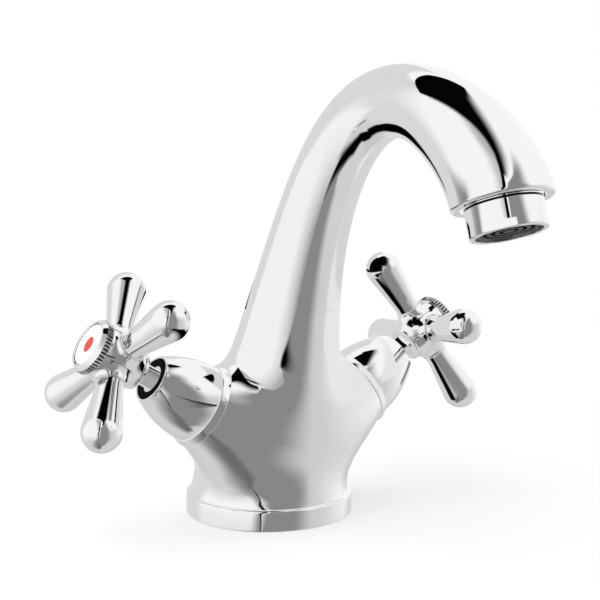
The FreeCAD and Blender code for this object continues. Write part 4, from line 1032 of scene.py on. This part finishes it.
def set_cards(scene):
    """Light tent round the tap as the chrome shows it: pale sheets, grey ones and its dark openings, and
    black sheets close to the tap that paint dark reflections.
    """
    black, grey, white = "#040404", "#8d8d8d", "#fbfbfb"
    far_card(scene, "low_bowl", "#d8d8d8", 2400, 0.01, 38, straight(-89.9, -4, -184, 184, 1, 1))
    far_card(scene, "back_low", "#cfcfcf", 2300, 10, 14, straight(-75, -8, 125, 235, 30, 30))
    far_card(scene, "back_left_card", "#e0e0e0", 2200, 12, 4, straight(-35, 55, -182, -100, 1, 18))
    far_card(scene, "side_card", "#d4d4d4", 2100, 14, 18, straight(-45, 24, 28, 128, 1, 62))
    far_card(scene, "grey_card", grey, 2000, 10, 20,
             [(-84, -26, 2, 1.2, 14), (-70, -26, 14, 1.2, 26), (-62, -26, 44, 1.2, 30),
              (-46, -26, 56, 1.2, 30), (-30, -13, 66, 1.2, 32), (-10, -15, 66, 20, 32), (0, -14, 64, 18, 28),
              (20, -3, 63, 8, 24), (38, 3, 61, 1.5, 30), (46, 18, 64, 8, 30), (66, 40, 72, 14, 20)])
    far_card(scene, "high_shade", "#bcbcbc", 1960, 10, 8,
             [(16, -24, -4, 20, 1), (40, -34, -4, 30, 1), (54, -56, -4, 52, 1), (66, -110, -4, 70, 1),
              (80, -130, -4, 70, 1)])
    far_card(scene, "low_shade", "#707070", 1940, 4, 14,
             [(-84, -140, -12, 80, 10), (-72, -130, -6, 90, 10), (-55, -107, 2, 100, 20),
              (-45, -68, -16, 54, 2), (-35, -72, -12, 95, 2), (-22, -66, -11, 100, 2)])
    far_card(scene, "slit_shade", "#8a8a8a", 1900, 6, 8,
             [(-45, -48, -15, 34, 1), (-30, -34, -11, 22, 1), (-16, -24, -9, 14, 1), (20, -16, -3, 12, 1)])
    far_card(scene, "slit_card", black, 1800, 3, 1,
             [(-42, -18.5, -16.5, 0.8, 0.8), (-30, -14.5, -12, 1, 1), (-20, -11.3, -8.8, 1, 1),
              (-10, -12.5, -9, 1, 1), (-4, -14, -9.5, 1, 1), (10, -10.5, -5.5, 1, 1), (25, -11, -1, 2, 1),
              (40, -10, -1, 2, 1), (80, -12, -3, 2, 1)])
    # Black level sheets low through and in front of the column, seen only by mirrors: painted dark
    # reflections in the chrome.
    level_card(scene, "low_strip", black, 75, 1, 30, 4,
               [(-215, -90, -30, 20, 20), (-150, -122, -20, 34, 22), (-132, -126, -10, 24, 18),
                (-116, -118, -6, 14, 16), (-100, -106, 2, 14, 14), (-84, -90, 6, 12, 12),
                (-68, -73, 7, 11, 12), (-52, -60, 8, 10, 10), (-36, -48, 9, 10, 10), (-20, -35, 12, 8, 10),
                (-4, -29, 15, 8, 10), (12, -21, 20, 9, 10), (27, -14, 26, 9, 11)])
    level_card(scene, "low_strip_end", black, 45, 1, 6, 10,
               [(-6, -22, 17, 8, 8), (10, -27, 21, 9, 9), (20, -31, 19, 12, 8), (27, -34, 13, 14, 8),
                (34, -31, 20, 20, 12), (46, -26, 33, 20, 14), (66, -22, 27, 22, 16), (84, -22, 18, 20, 14),
                (97, -29, 10, 18, 14), (107, -30, 2, 14, 12)])
    level_card(scene, "overhead_card", black, 394, -1, 4, 60,
               [(-74, 10, 70, 6, 6), (-60, -30, 114, 6, 8), (-35, -105, 110, 8, 10), (5, -214, 112, 14, 30),
                (40, -190, 116, 40, 60), (75, -150, 118, 50, 72), (100, -115, 122, 50, 80),
                (150, -50, 130, 44, 84), (190, -20, 140, 40, 90), (250, 0, 150, 36, 100),
                (420, 10, 110, 20, 60)])
    # Black sheets inside the trunk, beside the column and over the cold handle, seen only by mirrors:
    # painted dark reflections in the chrome.
    upright_card(scene, "column_card", black, 12, 1, ANY_SLANT, 10, 8, straight(-70, 40, -38, 34, 14, 16))
    upright_card(scene, "arm_card", black, 33, 1, ANY_SLANT, 4, 8,
                 [(80, -22, 13, 6, 6), (135, -26, 17, 6, 6)])
    level_card(scene, "bell_card", black, 110, -1, 2, 8,
               [(-21, 31, 60, 2, 14), (-12, 30, 64, 2, 16), (30, 28, 66, 2, 16)])
    # Sheets beside the column: they hide the handles from it and from the arch, and light and shade it.
    upright_card(scene, "hot_flag", white, -42, 1, NOT_GRAZING, 2, 12, straight(48, 135, -62, 42, 8, 8))
    upright_card(scene, "column_light", white, -41.5, 1, OBLIQUE, 4, 12, straight(48, 130, -120, -50, 12, 8))
    upright_card(scene, "column_shade", grey, -41, 1, OBLIQUE, 4, 12, straight(48, 130, -120, -28, 12, 75))
    upright_card(scene, "cold_flag", "#dcdcdc", 42, -1, NOT_GRAZING, 8, 12, straight(70, 135, -62, 42, 8, 8))
    upright_card(scene, "cold_low_flag", "#efefef", 42.5, -1, NOT_GRAZING, 2, 8,
                 straight(46, 80, -62, 42, 8, 8))


# Pieces

class TAP_OT_body(bpy.types.Operator):
    """Makes the chromed casting: base, shoulders and spout"""

    bl_idname = "tap.body"
    bl_label = "Body"

    def execute(self, context):
        sheet = body_sheet(plain(context.scene.tap_body))
        piece(context, "cast_body", sheet, "tap", "chrome", "body", mirrored=False)
        return {"FINISHED"}


class TAP_OT_bonnets(bpy.types.Operator):
    """Makes both bonnets with the black bushes in their mouths"""

    bl_idname = "tap.bonnets"
    bl_label = "Bonnets"

    def execute(self, context):
        s, h = plain(context.scene.tap_body), plain(context.scene.tap_handle)
        for name, side in SIDES:
            place = seat_axes(s, side)
            bell, bush = placed(bonnet_sheet(h), *place), placed(bush_sheet(h), *place)
            piece(context, f"{name}_bell", bell, "tap", "chrome", f"{name}_bonnet", mirrored=False)
            piece(context, f"{name}_bush", bush, "tap", "black_plastic", f"{name}_bonnet_bush",
                  mirrored=False)
        return {"FINISHED"}


class TAP_OT_handles(bpy.types.Operator):
    """Makes both cross handles: neck, hub and four arms each"""

    bl_idname = "tap.handles"
    bl_label = "Handles"

    def execute(self, context):
        s, h = plain(context.scene.tap_body), plain(context.scene.tap_handle)
        hub = hub_sheet(h)
        for name, side in SIDES:
            place, turn, body = seat_axes(s, side), getattr(h, f"{name}_turn"), f"{name}_handle"
            neck, middle = (placed(spun(sheet, turn), *place) for sheet in (neck_sheet(h), hub))
            piece(context, f"{name}_neck", neck, body, "chrome", f"{name}_handle_neck", mirrored=False)
            piece(context, f"{name}_hub", middle, body, "chrome", f"{name}_handle_hub")
            # The first cold arm is kept out of mirror images.
            for index in range(4):
                arm = placed(arm_sheet(h, turn + index * math.pi / 2), *place)
                piece(context, f"{name}_arm_{index + 1}", arm, body, "chrome",
                      f"{name}_handle_arm_{index + 1}", mirrored=side < 0 or index > 0)
        return {"FINISHED"}


def paint_shade_in_grooves(made, place, radius, middle, half):
    """Keeps how deep each point of a band lies below the radius, from 0 to 1, as the share of painted shade
    in its colour.

    The band reaches half to each side of its middle, along the axis.
    """
    axes, origin = place
    points = np.empty(3 * len(made.data.vertices))
    made.data.vertices.foreach_get("co", points)
    x, y, z = ((points.reshape(-1, 3) / MM - origin) @ np.asarray(axes).T).T
    out = np.hypot(x, y)
    within = (np.abs(z - middle) < half) & (out > radius - 1.5 * GROOVE)
    deep = np.clip((radius - out) / GROOVE, 0, 1) * within
    made.data.attributes.new("groove", "FLOAT", "POINT").data.foreach_set("value", deep)


class TAP_OT_indexes(bpy.types.Operator):
    """Makes the knurled index rings, white discs and coloured marks"""

    bl_idname = "tap.indexes"
    bl_label = "Indexes"

    def execute(self, context):
        s, h = plain(context.scene.tap_body), plain(context.scene.tap_handle)
        for name, side in SIDES:
            place, turn, body = seat_axes(s, side), getattr(h, f"{name}_turn"), f"{name}_handle"
            ring = placed(spun(ring_sheet(h), turn), *place)
            ring = piece(context, f"{name}_ring", ring, body, "chrome", f"{name}_index_ring")
            # Painted shade in the knurl's valleys, darker the deeper they are.
            paint_shade_in_grooves(ring, place, h.ring_radius, stack(h).top + KNURL_MIDDLE, KNURL_HALF)
            disc, mark = placed(disc_sheet(h), *place), placed(mark_sheet(h), *place)
            piece(context, f"{name}_disc", disc, body, "white_enamel", f"{name}_index_disc")
            piece(context, f"{name}_mark", mark, body, f"{name}_enamel", f"{name}_index_mark")
        return {"FINISHED"}


class TAP_OT_aerator(bpy.types.Operator):
    """Makes the aerator's sleeve and jet body"""

    bl_idname = "tap.aerator"
    bl_label = "Aerator"

    def execute(self, context):
        a = plain(context.scene.tap_aerator)
        sine, cosine = math.sin(MOUTH_TILT), math.cos(MOUTH_TILT)
        place = [(-1, 0, 0), (0, cosine, -sine), (0, -sine, -cosine)], (0, -MOUTH[0], MOUTH[1])
        sleeve, jets = placed(shell_sheet(a), *place), placed(insert_sheet(a), *place)
        sleeve = piece(context, "outlet_sleeve", sleeve, "tap", "chrome", "aerator_shell")
        # Painted shade in the groove where the sleeve meets the mouth.
        paint_shade_in_grooves(sleeve, place, a.radius, 0.5 * a.seam, 0.6 * a.seam)
        piece(context, "outlet_jets", jets, "tap", "dark_plastic", "aerator_insert")
        return {"FINISHED"}


class TAP_OT_inner(bpy.types.Operator):
    """Gives the inner pieces, kept from the frame, their finishes and keeps them out of mirror images"""

    bl_idname = "tap.inner"
    bl_label = "Inner pieces"

    def execute(self, context):
        slots = {"base_seal": "black_rubber", "aerator_screen": "steel", "aerator_washer": "black_rubber"}
        valve = {"valve_housing": "brass", "seat_gasket": "black_rubber", "fixed_disc": "ceramic",
                 "moving_disc": "ceramic", "spindle": "brass", "spindle_oring": "black_rubber",
                 "spindle_clip": "steel", "handle_screw": "steel"}
        for name, _ in SIDES:
            slots.update({f"{name}_{node}": slot for node, slot in valve.items()})
        for node, slot in slots.items():
            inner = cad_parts[node]
            inner.visible_glossy = False
            inner.data.materials.clear()
            inner.data.materials.append(finish_of(context, slot))
        return {"FINISHED"}


class TAP_PT_panel(bpy.types.Panel):
    """Sizes, colours and pieces of the tap"""

    bl_idname = "TAP_PT_panel"
    bl_label = "Basin tap"
    bl_space_type = "VIEW_3D"
    bl_region_type = "UI"
    bl_category = "Tap"

    def draw(self, context):
        for operator in OPERATORS:
            self.layout.operator(operator.bl_idname)
        for key in GROUPS:
            box = self.layout.box()
            group = getattr(context.scene, key)
            for prop in own_properties(group):
                box.prop(group, prop)


OPERATORS = (TAP_OT_stage, TAP_OT_body, TAP_OT_bonnets, TAP_OT_handles, TAP_OT_indexes, TAP_OT_aerator,
             TAP_OT_inner)
GROUPS = {"tap_body": TapBodySizes, "tap_handle": TapHandleSizes, "tap_aerator": TapAeratorSizes,
          "tap_finish": TapFinish}


def register():
    """Registers the classes and gives the scene its property groups."""
    for made in (*GROUPS.values(), *OPERATORS, TAP_PT_panel):
        bpy.utils.register_class(made)
    for key, group in GROUPS.items():
        setattr(bpy.types.Scene, key, PointerProperty(type=group))


def unregister():
    """Takes the property groups and classes away again."""
    for key in GROUPS:
        delattr(bpy.types.Scene, key)
    for made in (TAP_PT_panel, *OPERATORS[::-1], *list(GROUPS.values())[::-1]):
        bpy.utils.unregister_class(made)


def main():
    """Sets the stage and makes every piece."""
    register()
    bpy.ops.tap.stage()
    bpy.ops.tap.body()
    bpy.ops.tap.bonnets()
    bpy.ops.tap.handles()
    bpy.ops.tap.indexes()
    bpy.ops.tap.aerator()
    bpy.ops.tap.inner()


if __name__ == "__main__":
    main()
